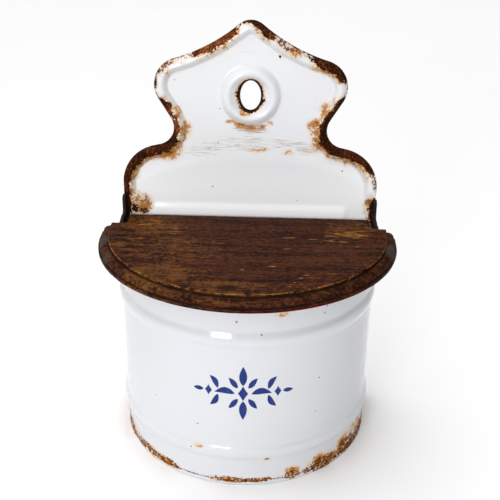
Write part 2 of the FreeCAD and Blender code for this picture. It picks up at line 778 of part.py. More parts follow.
def make_pivot_nail(label, side):
    """A nail with a domed head, driven through its lug into the lid's tongue."""
    body = doc.addObject("PartDesign::Body", label)
    body.Label = label
    shank = size("nail_radius")
    head = size("head_radius")
    thickness = size("head_thickness")
    dome = size("head_dome")
    head_end = wall_radius + size("lug_gauge") + size("head_gap") + thickness
    reach = head_end - half_tongue + size("nail_hold")
    profile = Drawing(body, "NailProfile", "XY_Plane")
    profile.start(0, 0)
    profile.line(reach, 0)
    profile.line(reach - size("nail_point"), shank)
    profile.line(thickness, shank)
    profile.line(thickness, head)
    profile.line(dome, head)
    profile.close_arc(arc_radius(head * 2, dome), LEFT)
    turned(body, "Revolution", "Nail", profile, "H_Axis")
    body.Placement.Rotation = FreeCAD.Rotation(UP, 0 if side == LEFT else 180)
    body.setExpression("Placement.Base.x", (head_end * side).text)
    body.setExpression("Placement.Base.y", (back_plane - pivot_depth).text)
    body.setExpression("Placement.Base.z", pivot_height.text)
    return body


nodes = [
    make_back_plate(),
    make_front_wall(),
    make_base_pan(),
    make_hinge_lug("left_hinge_lug", LEFT),
    make_hinge_lug("right_hinge_lug", RIGHT),
    make_lug_rivets(),
    make_lid_board(),
    make_pivot_nail("left_pivot_nail", LEFT),
    make_pivot_nail("right_pivot_nail", RIGHT),
]
doc.recompute()

for item in doc.Objects:
    if "Invalid" in item.State or "Error" in item.State:
        raise RuntimeError(f"{item.Label} did not compute: {item.State}")
for node in nodes:
    if node.Shape.isNull() or not node.Shape.isValid():
        raise RuntimeError(f"{node.Label} has no sound shape")

os.makedirs("parts", exist_ok=True)
for node in nodes:
    node.Shape.exportStep(f"parts/{node.Label}.step")
    box = node.Shape.optimalBoundingBox()
    print(f"{node.Label}: {len(node.Shape.Solids)} solid(s), {node.Shape.Volume:.0f} mm3, "
          f"{box.XLength:.1f} x {box.YLength:.1f} x {box.ZLength:.1f} mm, foot at {box.ZMin:.1f} mm")
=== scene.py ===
"""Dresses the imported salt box: enamelled plate and bin, moulded wooden lid, rusted lugs, and the studio."""
import logging
import math
from dataclasses import dataclass
from enum import Enum
from typing import Callable, Optional, Sequence, Union

import bmesh
import bpy
import numpy as np
from mathutils import Matrix, Vector, noise
from mathutils.geometry import delaunay_2d_cdt


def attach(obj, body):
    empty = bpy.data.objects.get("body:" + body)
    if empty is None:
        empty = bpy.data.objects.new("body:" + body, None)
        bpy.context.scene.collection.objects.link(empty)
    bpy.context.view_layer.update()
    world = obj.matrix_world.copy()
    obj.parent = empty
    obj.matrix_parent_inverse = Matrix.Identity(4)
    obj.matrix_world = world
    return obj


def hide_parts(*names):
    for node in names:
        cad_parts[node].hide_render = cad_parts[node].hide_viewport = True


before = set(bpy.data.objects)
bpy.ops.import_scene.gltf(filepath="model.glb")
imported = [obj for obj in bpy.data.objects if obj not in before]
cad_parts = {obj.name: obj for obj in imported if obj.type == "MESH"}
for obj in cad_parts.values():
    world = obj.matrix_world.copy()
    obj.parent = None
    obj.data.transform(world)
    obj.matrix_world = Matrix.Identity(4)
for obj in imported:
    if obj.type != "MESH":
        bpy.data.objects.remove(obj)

log = logging.getLogger("salt_box")

MM = 0.001
WELD = 1e-6
TINY = 1e-12
CREASE = math.radians(42.0)
BEAD_SPREAD = 1.12
BEAD_POWER = 1.35
NO_HOLE = np.zeros((0, 2))

Pair = tuple[float, float]
Triple = tuple[float, float, float]
Colour = Triple
Material = bpy.types.Material
Piece = bpy.types.Object


class Body(Enum):
    """The bodies that carry the pieces."""

    BOX = "box"
    LID = "lid"


class Slot(Enum):
    """The record's material slots."""

    ENAMEL = "enamel"
    LID_WOOD = "lid_wood"
    LUG_IRON = "lug_iron"
    NAIL_STEEL = "nail_steel"


class Field(Enum):
    """Names of the values that a mesh carries at its points."""

    RUST = "rust"
    STAIN = "stain"
    CRAZE = "craze"
    # Painted light: lightens the plate's white low behind the lid, where the lid's shade falls.
    PAINTED_LIGHT = "clean"
    FRESH = "fresh"
    WORN = "worn"
    PAINT = "paint"
    BLEACH = "bleach"
    TAN = "tan"
    # Also painted shade: shadow lines in the moulding's creases and a darkening towards the right.
    GRIME_AND_SHADE = "grime_and_shade"


# Shader expressions


def maths(operation: str, reflected: bool = False) -> Callable[["Wire", "Value"], "Wire"]:
    """Makes an operator for wires.

    Args:
        operation: The Math node's operation.
        reflected: Whether the other value comes first.

    Returns:
        A method that adds the Math node.
    """
    def operator(wire: "Wire", other: "Value") -> "Wire":
        """Adds the Math node and returns its result."""
        first, second = (other, wire) if reflected else (wire, other)
        return wire.shop.node("ShaderNodeMath", {"operation": operation}, {0: first, 1: second})

    return operator


class Wire:
    """An output socket that takes part in arithmetic: each operator adds a Math node."""

    def __init__(self, shop: "Shop", socket: Optional[bpy.types.NodeSocket]) -> None:
        """Keeps the socket and the shop that makes its nodes."""
        self.shop = shop
        self.socket = socket

    __add__ = maths("ADD")
    __radd__ = maths("ADD", reflected=True)
    __sub__ = maths("SUBTRACT")
    __rsub__ = maths("SUBTRACT", reflected=True)
    __mul__ = maths("MULTIPLY")
    __rmul__ = maths("MULTIPLY", reflected=True)
    higher = maths("MAXIMUM")

    def step(self, low: float, high: float) -> "Wire":
        """A smooth step from 0 at low to 1 at high."""
        sockets = {"Value": self, "From Min": low, "From Max": high}
        return self.shop.node("ShaderNodeMapRange", {"interpolation_type": "SMOOTHSTEP"}, sockets)


Value = Union[Wire, float, int, Triple]


class Shop:
    """Makes the nodes of one material or sky."""

    def __init__(self, owner: Union[Material, bpy.types.World]) -> None:
        """Starts with an empty tree.

        Args:
            owner: The material or sky that the nodes belong to.
        """
        owner.use_nodes = True
        self.owner = owner
        self.tree = owner.node_tree
        self.tree.nodes.clear()

    def node(self, kind: str, settings: dict, sockets: dict, output: Union[int, str] = 0) -> Wire:
        """Adds any node.

        Args:
            kind: The node's type.
            settings: Properties that are set first; "stops" holds a ramp's places and colours.
            sockets: Values or wires by socket name or number.
            output: The output socket that is wanted.

        Returns:
            That output, or a wire without a socket from a node that ends the tree.
        """
        made = self.tree.nodes.new(kind)
        for name, value in settings.items():
            if name == "stops":
                self.fill_ramp(made.color_ramp, value)
            else:
                setattr(made, name, value)
        for key, value in sockets.items():
            self.feed(made.inputs[key], value)
        return Wire(self, made.outputs[output] if made.outputs else None)

    def feed(self, socket: bpy.types.NodeSocket, value: Value) -> None:
        """Links a wire to a socket, or sets the socket's own value.

        Args:
            socket: An input socket.
            value: A wire, a number, a vector or a colour.
        """
        if isinstance(value, Wire):
            self.tree.links.new(value.socket, socket)
        elif socket.type == "RGBA":
            socket.default_value = (*value, 1.0)
        else:
            socket.default_value = value

    @staticmethod
    def fill_ramp(ramp: bpy.types.ColorRamp, stops: Sequence[tuple[float, Colour]]) -> None:
        """Gives a ramp its stops.

        Args:
            ramp: The ramp.
            stops: Places from 0 to 1, each with its colour.
        """
        while len(ramp.elements) < len(stops):
            ramp.elements.new(1.0)
        for element, (place, colour) in zip(ramp.elements, stops):
            element.position = place
            element.color = (*colour, 1.0)

    def place(self) -> Wire:
        """The point in the part's own frame, in metres."""
        return self.node("ShaderNodeTexCoord", {}, {}, "Object")

    def vector(self, operation: str, sockets: dict) -> Wire:
        """Adds a Vector Math node."""
        return self.node("ShaderNodeVectorMath", {"operation": operation}, sockets)

    def stretched(self, scale: Triple) -> Wire:
        """The point with its axes scaled."""
        return self.vector("MULTIPLY", {0: self.place(), 1: scale})

    def slanted(self, tilt: float, scale: Triple) -> Wire:
        """The point tilted about the y axis and then with its axes scaled.

        Args:
            tilt: Angle in radians.
            scale: Scale of each axis.

        Returns:
            The new point.
        """
        sizes = tuple(1 / number for number in scale)
        sockets = {"Vector": self.place(), "Rotation": (0.0, tilt, 0.0), "Scale": sizes}
        return self.node("ShaderNodeMapping", {"vector_type": "TEXTURE"}, sockets)

    def web(self, scale: float, drift: float, width: float) -> Wire:
        """Thin wandering lines between cells, 1 on a line and 0 away from it.

        Args:
            scale: Cells in a metre.
            drift: How far the lines wander, in metres.
            width: Width of a line as a share of a cell.

        Returns:
            The lines.
        """
        noises = {"Vector": self.place(), "Scale": scale * 1.6, "Detail": 2.0}
        astray = self.node("ShaderNodeTexNoise", {}, noises, "Color")
        place = self.vector("ADD", {0: self.place(), 1: self.vector("SCALE", {0: astray, "Scale": drift})})
        cells = {"Vector": place, "Scale": scale, "Randomness": 1.0}
        gap = self.node("ShaderNodeTexVoronoi", {"feature": "DISTANCE_TO_EDGE"}, cells, "Distance")
        return 1 - gap.step(width * 0.25, width)

    def specks(self, scale: float, size: float) -> Wire:
        """Round specks, 1 inside and 0 outside.

        Args:
            scale: Cells in a metre, with one speck in each.
            size: Radius of a speck as a share of a cell.

        Returns:
            The specks.
        """
        cells = {"Vector": self.place(), "Scale": scale, "Randomness": 1.0}
        gap = self.node("ShaderNodeTexVoronoi", {"feature": "F1"}, cells, "Distance")
        return 1 - gap.step(size * 0.6, size)

    def clouds(self, place: Wire, scale: float, detail: float = 3.0, rough: float = 0.55) -> Wire:
        """Cloudy noise about zero, from about -0.5 to 0.5."""
        sockets = {"Vector": place, "Scale": scale, "Detail": detail, "Roughness": rough}
        return self.node("ShaderNodeTexNoise", {}, sockets, "Fac") - 0.5

    def field(self, field: Field) -> Wire:
        """A value that the mesh carries."""
        return self.node("ShaderNodeAttribute", {"attribute_name": field.value}, {}, "Fac")

    def blend(self, share: Value, first: Value, second: Value) -> Wire:
        """Mixes two colours by a share."""
        return self.node("ShaderNodeMix", {"data_type": "RGBA"}, {0: share, 6: first, 7: second}, 2)

    def ramp(self, share: Wire, stops: Sequence[tuple[float, Colour]]) -> Wire:
        """A colour ramp over a value."""
        return self.node("ShaderNodeValToRGB", {"stops": stops}, {"Fac": share}, "Color")

    def bump(self, height: Wire, depth: float) -> Wire:
        """A normal from a height, whose full depth is in metres."""
        sockets = {"Strength": 1.0, "Distance": depth, "Height": height}
        return self.node("ShaderNodeBump", {}, sockets, "Normal")

    def coat(self, **sockets: Value) -> Wire:
        """A surface shader, from socket names with _ for each space."""
        named = {key.replace("_", " "): value for key, value in sockets.items()}
        return self.node("ShaderNodeBsdfPrincipled", {}, named, "BSDF")

    def end(self, kind: str, shader: Wire) -> None:
        """Links a shader to the tree's output."""
        self.node(kind, {}, {"Surface": shader})


# Finishes


@dataclass(frozen=True)
class Finish:
    """A finish, which makes its own material."""

    name: str

    def shader(self, shop: Shop) -> Wire:
        """The surface, which each kind of finish makes in its own way."""
        raise NotImplementedError

    def material(self) -> Material:
        """Makes the material.

        Returns:
            The material, named as the finish.
        """
        shop = Shop(bpy.data.materials.new(self.name))
        shop.end("ShaderNodeOutputMaterial", self.shader(shop))
        return shop.owner


@dataclass(frozen=True)
class Enamel(Finish):
    """White vitreous enamel on sheet steel, chipped through to rust."""

    white: Colour = (0.725, 0.735, 0.76)
    cream: Colour = (0.71, 0.715, 0.73)
    # Painted light: a lighter white laid low on the plate behind the lid, where the lid's shade falls.
    clean: Colour = (0.95, 0.955, 0.965)
    tea: Colour = (0.70, 0.44, 0.165)
    stain: Colour = (0.46, 0.175, 0.024)
    ruddy: Colour = (0.21, 0.060, 0.016)
    copper: Colour = (0.40, 0.145, 0.040)
    rust: Colour = (0.060, 0.015, 0.004)
    scale_black: Colour = (0.012, 0.004, 0.002)
    craze_brown: Colour = (0.32, 0.175, 0.060)
    mottle: float = 0.75
    speckle: float = 0.35
    web_share: float = 0.85
    filament: float = 0.18
    patch_scale: float = 190.0
    fine_scale: float = 850.0
    grit_scale: float = 2600.0
    tone_scale: float = 14.0
    ripple_scale: float = 45.0
    lace: Triple = (380.0, 0.0034, 0.24)
    curl: Triple = (240.0, 0.0045, 0.15)
    pinholes: Pair = (95.0, 0.055)
    cracks: tuple[tuple[float, Triple], ...] = ((0.07, (70.0, 70.0, 1500.0)), (-0.09, (70.0, 70.0, 1650.0)))
    chip_depth: float = 0.00025

    def crazing(self, shop: Shop) -> Wire:
        """Fine cracks that lie nearly level, 1 on a crack."""
        rising, falling = (shop.clouds(shop.slanted(*crack), 1.0, 4.0, 0.62) for crack in self.cracks)
        return (shop.field(Field.CRAZE) + rising.higher(falling) * 1.1).step(0.62, 0.72)

    def shader(self, shop: Shop) -> Wire:
        """Lays rusted iron over the stained glaze where the enamel is gone.

        Args:
            shop: Makes the nodes; the mesh carries rust, stain, craze, painted light low on the plate, and
                fresh.

        Returns:
            The shader.
        """
        place = shop.place()
        rusted, stained = shop.field(Field.RUST), shop.field(Field.STAIN)
        patch = shop.clouds(place, self.patch_scale, 4.0)
        fine = shop.clouds(place, self.fine_scale)
        grit = shop.clouds(place, self.grit_scale, 2.0)
        lace = (shop.web(*self.lace) * 1.2 - 0.7) * rusted.step(0.12, 0.40) * self.filament
        wear = rusted + patch * self.mottle + fine * self.speckle + lace
        bare = wear.step(0.50, 0.53)
        rim = (wear + grit * 0.25).step(0.40, 0.50)
        ring = wear.step(0.315, 0.335) * (1 - wear.step(0.345, 0.375))
        pepper = (stained + fine * 1.6 + patch * 0.6).step(0.92, 1.0)
        faint = (stained + patch * 0.5 + fine * 0.3).step(0.10, 0.55) * stained.step(0.02, 0.20)
        halo = (stained + patch * 1.1 + fine * 0.8).step(0.34, 0.95)
        curls = (stained + patch * 1.1 + fine * 0.5).step(0.34, 0.60) * self.web_share
        curls = shop.web(*self.curl) * curls
        craze = self.crazing(shop)
        # The glaze, from its white, lightened low on the plate by painted light, to its stains.
        tone = shop.clouds(place, self.tone_scale, 2.0).step(-0.2, 0.35)
        glaze = shop.blend(tone, self.white, self.cream)
        # Painted light: the plate low behind the lid is lightened against the lid's shade.
        glaze = shop.blend(shop.field(Field.PAINTED_LIGHT), glaze, self.clean)
        glaze = shop.blend(faint * 0.42, glaze, self.tea)
        glaze = shop.blend(halo.step(0.04, 0.70) * 0.8, glaze, self.tea)
        glaze = shop.blend(halo.step(0.42, 0.95), glaze, self.stain)
        dirt = shop.blend(stained.step(0.05, 0.45), self.craze_brown, self.copper)
        glaze = shop.blend(craze * 0.7, glaze, dirt)
        curl_brown = shop.blend((patch + fine).step(-0.12, 0.12), self.ruddy, self.stain)
        glaze = shop.blend(curls, glaze, curl_brown)
        glaze = shop.blend((rim * 0.85).higher(ring * 0.7), glaze, self.stain)
        # The iron under it.
        flakes = grit * 0.8 + fine * 1.4 + patch * 0.7 + 0.45 + shop.field(Field.FRESH) * 0.3
        stops = ((0.32, self.scale_black), (0.62, self.rust), (0.82, self.ruddy), (1.0, self.copper))
        iron = shop.ramp(flakes, stops)
        ripple = shop.clouds(place, self.ripple_scale, 1.0)
        height = bare * -1.0 + rim * 0.35 + grit * bare * 0.8 + ripple * 0.25
        normal = shop.bump(height, self.chip_depth)
        rough = 0.10 + craze * 0.2 + halo * 0.25
        glass = shop.coat(
            Base_Color=glaze, Roughness=rough, Normal=normal, Coat_Weight=0.25, Coat_Roughness=0.05)
        metal = shop.coat(Base_Color=iron, Roughness=0.85, Normal=normal, Specular_IOR_Level=0.04)
        gone = bare.higher(shop.specks(*self.pinholes)).higher(pepper)
        return shop.node("ShaderNodeMixShader", {}, {0: gone, 1: glass, 2: metal})


@dataclass(frozen=True)
class WornWood(Finish):
    """Dark stained hardwood, rubbed back to ochre, with old red paint left in its moulding."""

    soot_and_shade: Colour = (0.008, 0.006, 0.005)
    dark: Colour = (0.017, 0.0058, 0.0036)
    brown: Colour = (0.080, 0.026, 0.0110)
    russet: Colour = (0.088, 0.021, 0.007)
    tan: Colour = (0.150, 0.058, 0.015)
    ochre: Colour = (0.37, 0.160, 0.036)
    grey: Colour = (0.075, 0.066, 0.059)
    crimson: Colour = (0.120, 0.008, 0.007)
    maroon: Colour = (0.035, 0.004, 0.003)
    grain_scale: Triple = (14.0, 190.0, 190.0)
    fibre_scale: Triple = (70.0, 1500.0, 1500.0)
    flake_scale: Triple = (150.0, 480.0, 480.0)
    blotch_scale: float = 45.0
    pit_scale: float = 430.0
    grain_depth: float = 0.0004

    def shader(self, shop: Shop) -> Wire:
        """Lays tan, soot with painted shade, paint, bare wood and bleached wood over the stain.

        Args:
            shop: Makes the nodes; the mesh carries worn, paint, bleach, tan, and grime with painted shade.

        Returns:
            The shader.
        """
        place = shop.place()
        grain = shop.clouds(shop.stretched(self.grain_scale), 1.0, 5.0, 0.6)
        fibre = shop.clouds(shop.stretched(self.fibre_scale), 1.0, 3.0, 0.65)
        flake = shop.clouds(shop.stretched(self.flake_scale), 1.0, 4.0, 0.7)
        blotch = shop.clouds(place, self.blotch_scale, 5.0, 0.65)
        pits = shop.clouds(place, self.pit_scale, 4.0, 0.7)
        light = (grain + fibre * 1.3 + pits * 1.3 + flake * 0.5).step(-0.17, 0.18)
        colour = shop.blend(light, self.dark, self.brown)
        colour = shop.blend((blotch + flake * 0.4).step(-0.05, 0.3) * 0.7, colour, self.russet)
        tanned = shop.field(Field.TAN) + blotch * 0.9 + grain * 0.8 + flake * 1.5 + pits * 1.3
        thin = (grain * 0.8 + fibre + flake + pits * 0.8 + 0.5).step(0.15, 0.85)
        colour = shop.blend(tanned.step(0.34, 0.98) * (0.35 + thin * 0.65), colour, self.tan)
        # Real grime patches, plus painted shade: dark lines in the moulding's creases and a darker moulding
        # towards the right.
        grime_and_shade = (blotch * 0.9 + flake * 0.9 + pits * 0.9 + shop.field(Field.GRIME_AND_SHADE)).step(0.31, 0.50)
        colour = shop.blend(grime_and_shade * 0.85, colour, self.soot_and_shade)
        paint = (shop.field(Field.PAINT) + flake * 0.9).step(0.45, 0.6)
        red = shop.blend((grain + flake + pits).step(-0.18, 0.16), self.maroon, self.crimson)
        colour = shop.blend(paint * 0.92, colour, red)
        worn = (shop.field(Field.WORN) + flake * 1.05 + blotch * 0.4 + fibre * 0.45).step(0.49, 0.62)
        worn = worn.higher((pits + flake * 0.6).step(0.225, 0.265) * 0.85)
        bare = shop.blend((grain + fibre + flake * 0.6 + 0.5).step(0.22, 0.85), self.tan, self.ochre)
        colour = shop.blend(worn, colour, bare)
        bleach = (shop.field(Field.BLEACH) + fibre * 0.8 + flake * 0.5).step(0.42, 0.66)
        colour = shop.blend(bleach * 0.8, colour, self.grey)
        rough = 0.55 + worn * 0.2 + bleach * 0.15 + fibre * 0.2
        height = grain * 0.5 + fibre * 0.8 + flake * 0.6 - worn * 0.6
        normal = shop.bump(height, self.grain_depth)
        return shop.coat(Base_Color=colour, Roughness=rough, Normal=normal, Specular_IOR_Level=0.02)


@dataclass(frozen=True)
class RustedIron(Finish):
    """Bare iron gone black and maroon with rust."""

    black: Colour = (0.006, 0.005, 0.005)
    maroon: Colour = (0.035, 0.009, 0.008)
    orange: Colour = (0.20, 0.07, 0.02)
    patch_scale: float = 160.0
    grit_scale: float = 1500.0
    pit_depth: float = 0.0003

    def shader(self, shop: Shop) -> Wire:
        """Mottles the iron and roughens it.

        Args:
            shop: Makes the nodes.

        Returns:
            The shader.
        """
        patch = shop.clouds(shop.place(), self.patch_scale, 4.0)
        grit = shop.clouds(shop.place(), self.grit_scale)
        stops = ((0.45, self.black), (0.68, self.maroon), (0.95, self.orange))
        colour = shop.ramp(patch + grit * 0.5 + 0.5, stops)
        rough = 0.62 + grit * 0.4
        normal = shop.bump(grit + patch, self.pit_depth)
        return shop.coat(Base_Color=colour, Roughness=rough, Normal=normal, Specular_IOR_Level=0.2)


@dataclass(frozen=True)
class NailSteel(Finish):
    """Dull steel of old nails, darkened and rusty in patches."""

    steel: Colour = (0.12, 0.11, 0.105)
    rust: Colour = (0.10, 0.035, 0.016)
    patch_scale: float = 420.0
    grit_scale: float = 2400.0
    pit_depth: float = 0.00015

    def shader(self, shop: Shop) -> Wire:
        """Lays patches of rust over the steel.

        Args:
            shop: Makes the nodes.

        Returns:
            The shader.
        """
        patch = shop.clouds(shop.place(), self.patch_scale, 4.0).step(-0.1, 0.12)
        grit = shop.clouds(shop.place(), self.grit_scale, 2.0)
        colour = shop.blend(patch, self.steel, self.rust)
        rough = 0.45 + patch * 0.35 + grit * 0.2
        normal = shop.bump(grit + patch * 0.5, self.pit_depth)
        return shop.coat(Base_Color=colour, Roughness=rough, Metallic=1 - patch, Normal=normal)


@dataclass(frozen=True)
class StencilBlue(Finish):
    """Cobalt enamel brushed through a stencil."""

    deep: Colour = (0.002, 0.017, 0.155)
    thin: Colour = (0.006, 0.034, 0.225)
    brush_scale: Triple = (500.0, 500.0, 120.0)
    brush_depth: float = 0.00004

    def shader(self, shop: Shop) -> Wire:
        """Varies the blue along the brush strokes.

        Args:
            shop: Makes the nodes.

        Returns:
            The shader.
        """
        brushed = shop.clouds(shop.stretched(self.brush_scale), 1.0)
        colour = shop.blend((brushed + 0.5).step(0.4, 0.8), self.deep, self.thin)
        rough = 0.16 + brushed * 0.1
        normal = shop.bump(brushed, self.brush_depth)
        return shop.coat(Base_Color=colour, Roughness=rough, Normal=normal, Specular_IOR_Level=0.35)


@dataclass(frozen=True)
class PaleFloor(Finish):
    """Plain white studio floor."""

    white: Colour = (0.965, 0.965, 0.97)
    shade: Colour = (0.955, 0.955, 0.96)
    mottle_scale: float = 6.0

    def shader(self, shop: Shop) -> Wire:
        """Mottles the white a little."""
        mottle = (shop.clouds(shop.place(), self.mottle_scale, 2.0) + 0.5).step(0.2, 0.8)
        return shop.coat(Base_Color=shop.blend(mottle, self.white, self.shade), Roughness=0.75)


# Meshes


class Skin:
    """Collects points and faces in millimetres, and makes a mesh of them in metres."""

    def __init__(self) -> None:
        """Starts empty."""
        self.points: list[np.ndarray] = []
        self.faces: list[tuple[int, ...]] = []
        self.count = 0

    def places(self) -> np.ndarray:
        """All points so far."""
        return np.concatenate(self.points)

    def add(self, places: np.ndarray) -> np.ndarray:
        """Adds points.

        Args:
            places: The points.

        Returns:
            Their numbers.
        """
        numbers = np.arange(self.count, self.count + len(places))
        self.points.append(places)
        self.count += len(places)
        return numbers

    def fill(self, numbers: np.ndarray, triangles: np.ndarray) -> None:
        """Adds triangles whose corners count along a row of point numbers."""
        self.faces.extend(map(tuple, numbers[triangles]))

    def strip(self, first: np.ndarray, second: np.ndarray, closed: bool) -> None:
        """Joins two rows of points by quads.

        Args:
            first: Point numbers of one row.
            second: Point numbers of the other row.
            closed: Whether the rows run round.
        """
        last = len(first) if closed else len(first) - 1
        for here in range(last):
            there = (here + 1) % len(first)
            self.faces.append((first[here], first[there], second[there], second[here]))

    def loft(self, rows: Sequence[np.ndarray], closed: bool) -> list[np.ndarray]:
        """Adds rows of points and joins each to the next.

        Args:
            rows: The rows, all of one length.
            closed: Whether the rows run round.

        Returns:
            The rows' point numbers.
        """
        numbers = [self.add(row) for row in rows]
        for first, second in zip(numbers, numbers[1:]):
            self.strip(first, second, closed)
        return numbers

    def made(self, name: str, finish: Material, fields: dict[Field, np.ndarray]) -> Piece:
        """Makes the object.

        Args:
            name: The piece's name.
            finish: Its material.
            fields: Values at its points.

        Returns:
            The object, linked to the scene.
        """
        mesh = bpy.data.meshes.new(name)
        corners = [tuple(dict.fromkeys(map(int, face))) for face in self.faces]
        mesh.from_pydata((self.places() * MM).tolist(), [], [face for face in corners if len(face) > 2])
        mesh.materials.append(finish)
        for field, values in fields.items():
            layer = mesh.attributes.new(field.value, "FLOAT", "POINT")
            layer.data.foreach_set("value", np.asarray(values, np.float32))
        self.clean(mesh)
        mesh.shade_smooth()
        mesh.set_sharp_from_angle(angle=CREASE)
        made = bpy.data.objects.new(name, mesh)
        bpy.context.scene.collection.objects.link(made)
        return made

    @staticmethod
    def clean(mesh: bpy.types.Mesh) -> None:
        """Welds points that coincide, drops faces without area and turns all faces outwards.

        Args:
            mesh: The mesh to clean.
        """
        shape = bmesh.new()
        shape.from_mesh(mesh)
        bmesh.ops.remove_doubles(shape, verts=shape.verts, dist=WELD)
        bmesh.ops.dissolve_degenerate(shape, edges=shape.edges, dist=WELD)
        bmesh.ops.recalc_face_normals(shape, faces=shape.faces)
        shape.to_mesh(mesh)
        shape.free()
        mesh.validate()


def facing(turns: np.ndarray) -> np.ndarray:
    """Directions in a plane at angles in radians."""
    return np.stack([np.cos(turns), np.sin(turns)], 1)


def circle(count: int) -> np.ndarray:
    """Directions all round, evenly spread."""
    return facing(np.linspace(0, 2 * math.pi, count, endpoint=False))


def heading(vector: np.ndarray) -> float:
    """Angle of a vector in its plane, in radians."""
    return math.atan2(vector[1], vector[0])


def level(plan: np.ndarray, height: float) -> np.ndarray:
    """Lifts points of a plan to a height."""
    return np.concatenate([plan, np.full((len(plan), 1), height)], 1)


def across_at(across: np.ndarray, height: float) -> np.ndarray:
    """Points of a level line in a plane."""
    return np.stack([across, np.full(len(across), height)], 1)


def filled(edge: np.ndarray, inner: np.ndarray, hole: np.ndarray = NO_HOLE) -> np.ndarray:
    """Triangles inside a closed outline, through the given inner points, without the hole.

    Args:
        edge: Outline in the plane.
        inner: Points inside it.
        hole: Outline of a hole, or no points.

    Returns:
        Triangles that turn left, as numbers into edge, hole and inner, in that order.
    """
    start, end = len(edge), len(edge) + len(hole)
    lines = [(n, (n + 1) % start) for n in range(start)]
    lines += [(start + n, start + (n + 1) % len(hole)) for n in range(len(hole))]
    points = [Vector(point) for point in np.concatenate([edge, hole, inner])]
    result = delaunay_2d_cdt(points, lines, [], 1, WELD)
    source = np.array([found[0] if found else -1 for found in result[3]])
    triangles = source[np.array(result[2])]
    in_hole = ((triangles >= start) & (triangles < end)).all(1)
    return triangles[(triangles.min(1) >= 0) & ~in_hole]


def inside(points: np.ndarray, edge: np.ndarray) -> np.ndarray:
    """Tells which points lie inside a closed outline.

    Args:
        points: Points in the plane.
        edge: The outline.

    Returns:
        True for each point inside.
    """
    x, y = points[:, 0, None], points[:, 1, None]
    x0, y0 = edge.T
    x1, y1 = np.roll(x0, -1), np.roll(y0, -1)
    crosses = (y0 > y) != (y1 > y)
    rise = np.where(y1 == y0, TINY, y1 - y0)
    return (crosses & (x < (x1 - x0) * (y - y0) / rise + x0)).sum(1) % 2 == 1


def closest(points: np.ndarray, line: np.ndarray, block: int = 64) -> tuple[np.ndarray, np.ndarray]:
    """Finds the nearest of a row of closely set points.

    Args:
        points: Places to measure from.
        line: The row.
        block: How many of the row are measured at once.

    Returns:
        Distances, and the numbers of the nearest points in the row.
    """
    best = np.full(len(points), np.inf)
    number = np.zeros(len(points), int)
    for start in range(0, len(line), block):
        gaps = ((points[:, None, :] - line[None, start:start + block]) ** 2).sum(2)
        found = gaps.argmin(1)
        gap = gaps[np.arange(len(points)), found]
        number = np.where(gap < best, found + start, number)
        best = np.minimum(best, gap)
    return np.sqrt(best), number


def scattered(edge: np.ndarray, low: Sequence[float], high: Sequence[float], pitch: float,
              margin: float) -> np.ndarray:
    """Points of a staggered grid inside a closed outline.

    Args:
        edge: The outline.
        low: The grid's lower left corner.
        high: Its upper right corner.
        pitch: Its spacing.
        margin: How far the points keep from the outline.

    Returns:
        The points.
    """
    xs, ys = np.meshgrid(np.arange(low[0], high[0], pitch), np.arange(low[1], high[1], pitch))
    xs = xs + (np.arange(len(xs)) % 2)[:, None] * pitch / 2
    points = np.stack([xs.ravel(), ys.ravel()], 1)
    points = points[inside(points, edge)]
    return points[closest(points, edge)[0] > margin]


def hump(across: np.ndarray, half_width: float, rise: float) -> np.ndarray:
    """Height of a pressed bead at a distance from its middle, with soft feet."""
    share = np.clip(np.abs(across) / (half_width * BEAD_SPREAD), 0, 1)
    return rise * (1 - share ** 2) ** BEAD_POWER


def eased(values: np.ndarray, low: float, high: float) -> np.ndarray:
    """A smooth step from 0 at low to 1 at high."""
    share = np.clip((np.asarray(values, float) - low) / (high - low), 0, 1)
    return share * share * (3 - 2 * share)


def fading(values: np.ndarray, full: float, none: float, strength: float = 1.0) -> np.ndarray:
    """A smooth step from a strength at full to 0 at none."""
    return strength * (1 - eased(values, full, none))


def wander(places: np.ndarray, pitch: float, seed: float) -> np.ndarray:
    """Smooth noise at each place, from about -1 to 1."""
    return np.array([noise.noise(Vector(p) / pitch + Vector((seed, seed * 1.7, 0))) for p in places])


def uneven(places: np.ndarray, ripples: Sequence[Triple]) -> np.ndarray:
    """Uneven shares about 1 at each place, from rows of share, pitch and seed."""
    return 1 + sum(share * wander(places, pitch, seed) for share, pitch, seed in ripples)


# Wear


@dataclass(frozen=True)
class Patch:
    """A worn place: where it is on its surface, how far it reaches and how strong it is."""

    across: float
    up: float
    reach: float
    strength: float
    stretch: float = 1.0


@dataclass(frozen=True)
class EdgeMark:
    """How strongly an edge is worn at a place, and how far in from the edge that goes."""

    across: float
    up: float
    strength: float
    reach: float


PATCH_EDGE = (0.25, 1.0)
Patches = tuple[Patch, ...]
EdgeMarks = tuple[EdgeMark, ...]


def patches(*rows: tuple[float, ...]) -> Patches:
    """Worn places from rows of across, up, reach, strength and, for a long one, stretch."""
    return tuple(Patch(*row) for row in rows)


def edge_marks(*rows: tuple[float, ...]) -> EdgeMarks:
    """Worn edges from rows of across, up, strength and reach."""
    return tuple(EdgeMark(*row) for row in rows)


def worn_by(marks: Patches, across: np.ndarray, up: np.ndarray) -> np.ndarray:
    """The strongest of several worn places.

    Args:
        marks: The worn places.
        across: Where each point lies across the surface.
        up: Where it lies up the surface.

    Returns:
        The wear at each point.
    """
    total = np.zeros(len(across))
    for mark in marks:
        gap = np.hypot((across - mark.across) / mark.stretch, up - mark.up) / mark.reach
        total = np.maximum(total, fading(gap, *PATCH_EDGE, mark.strength))
    return total


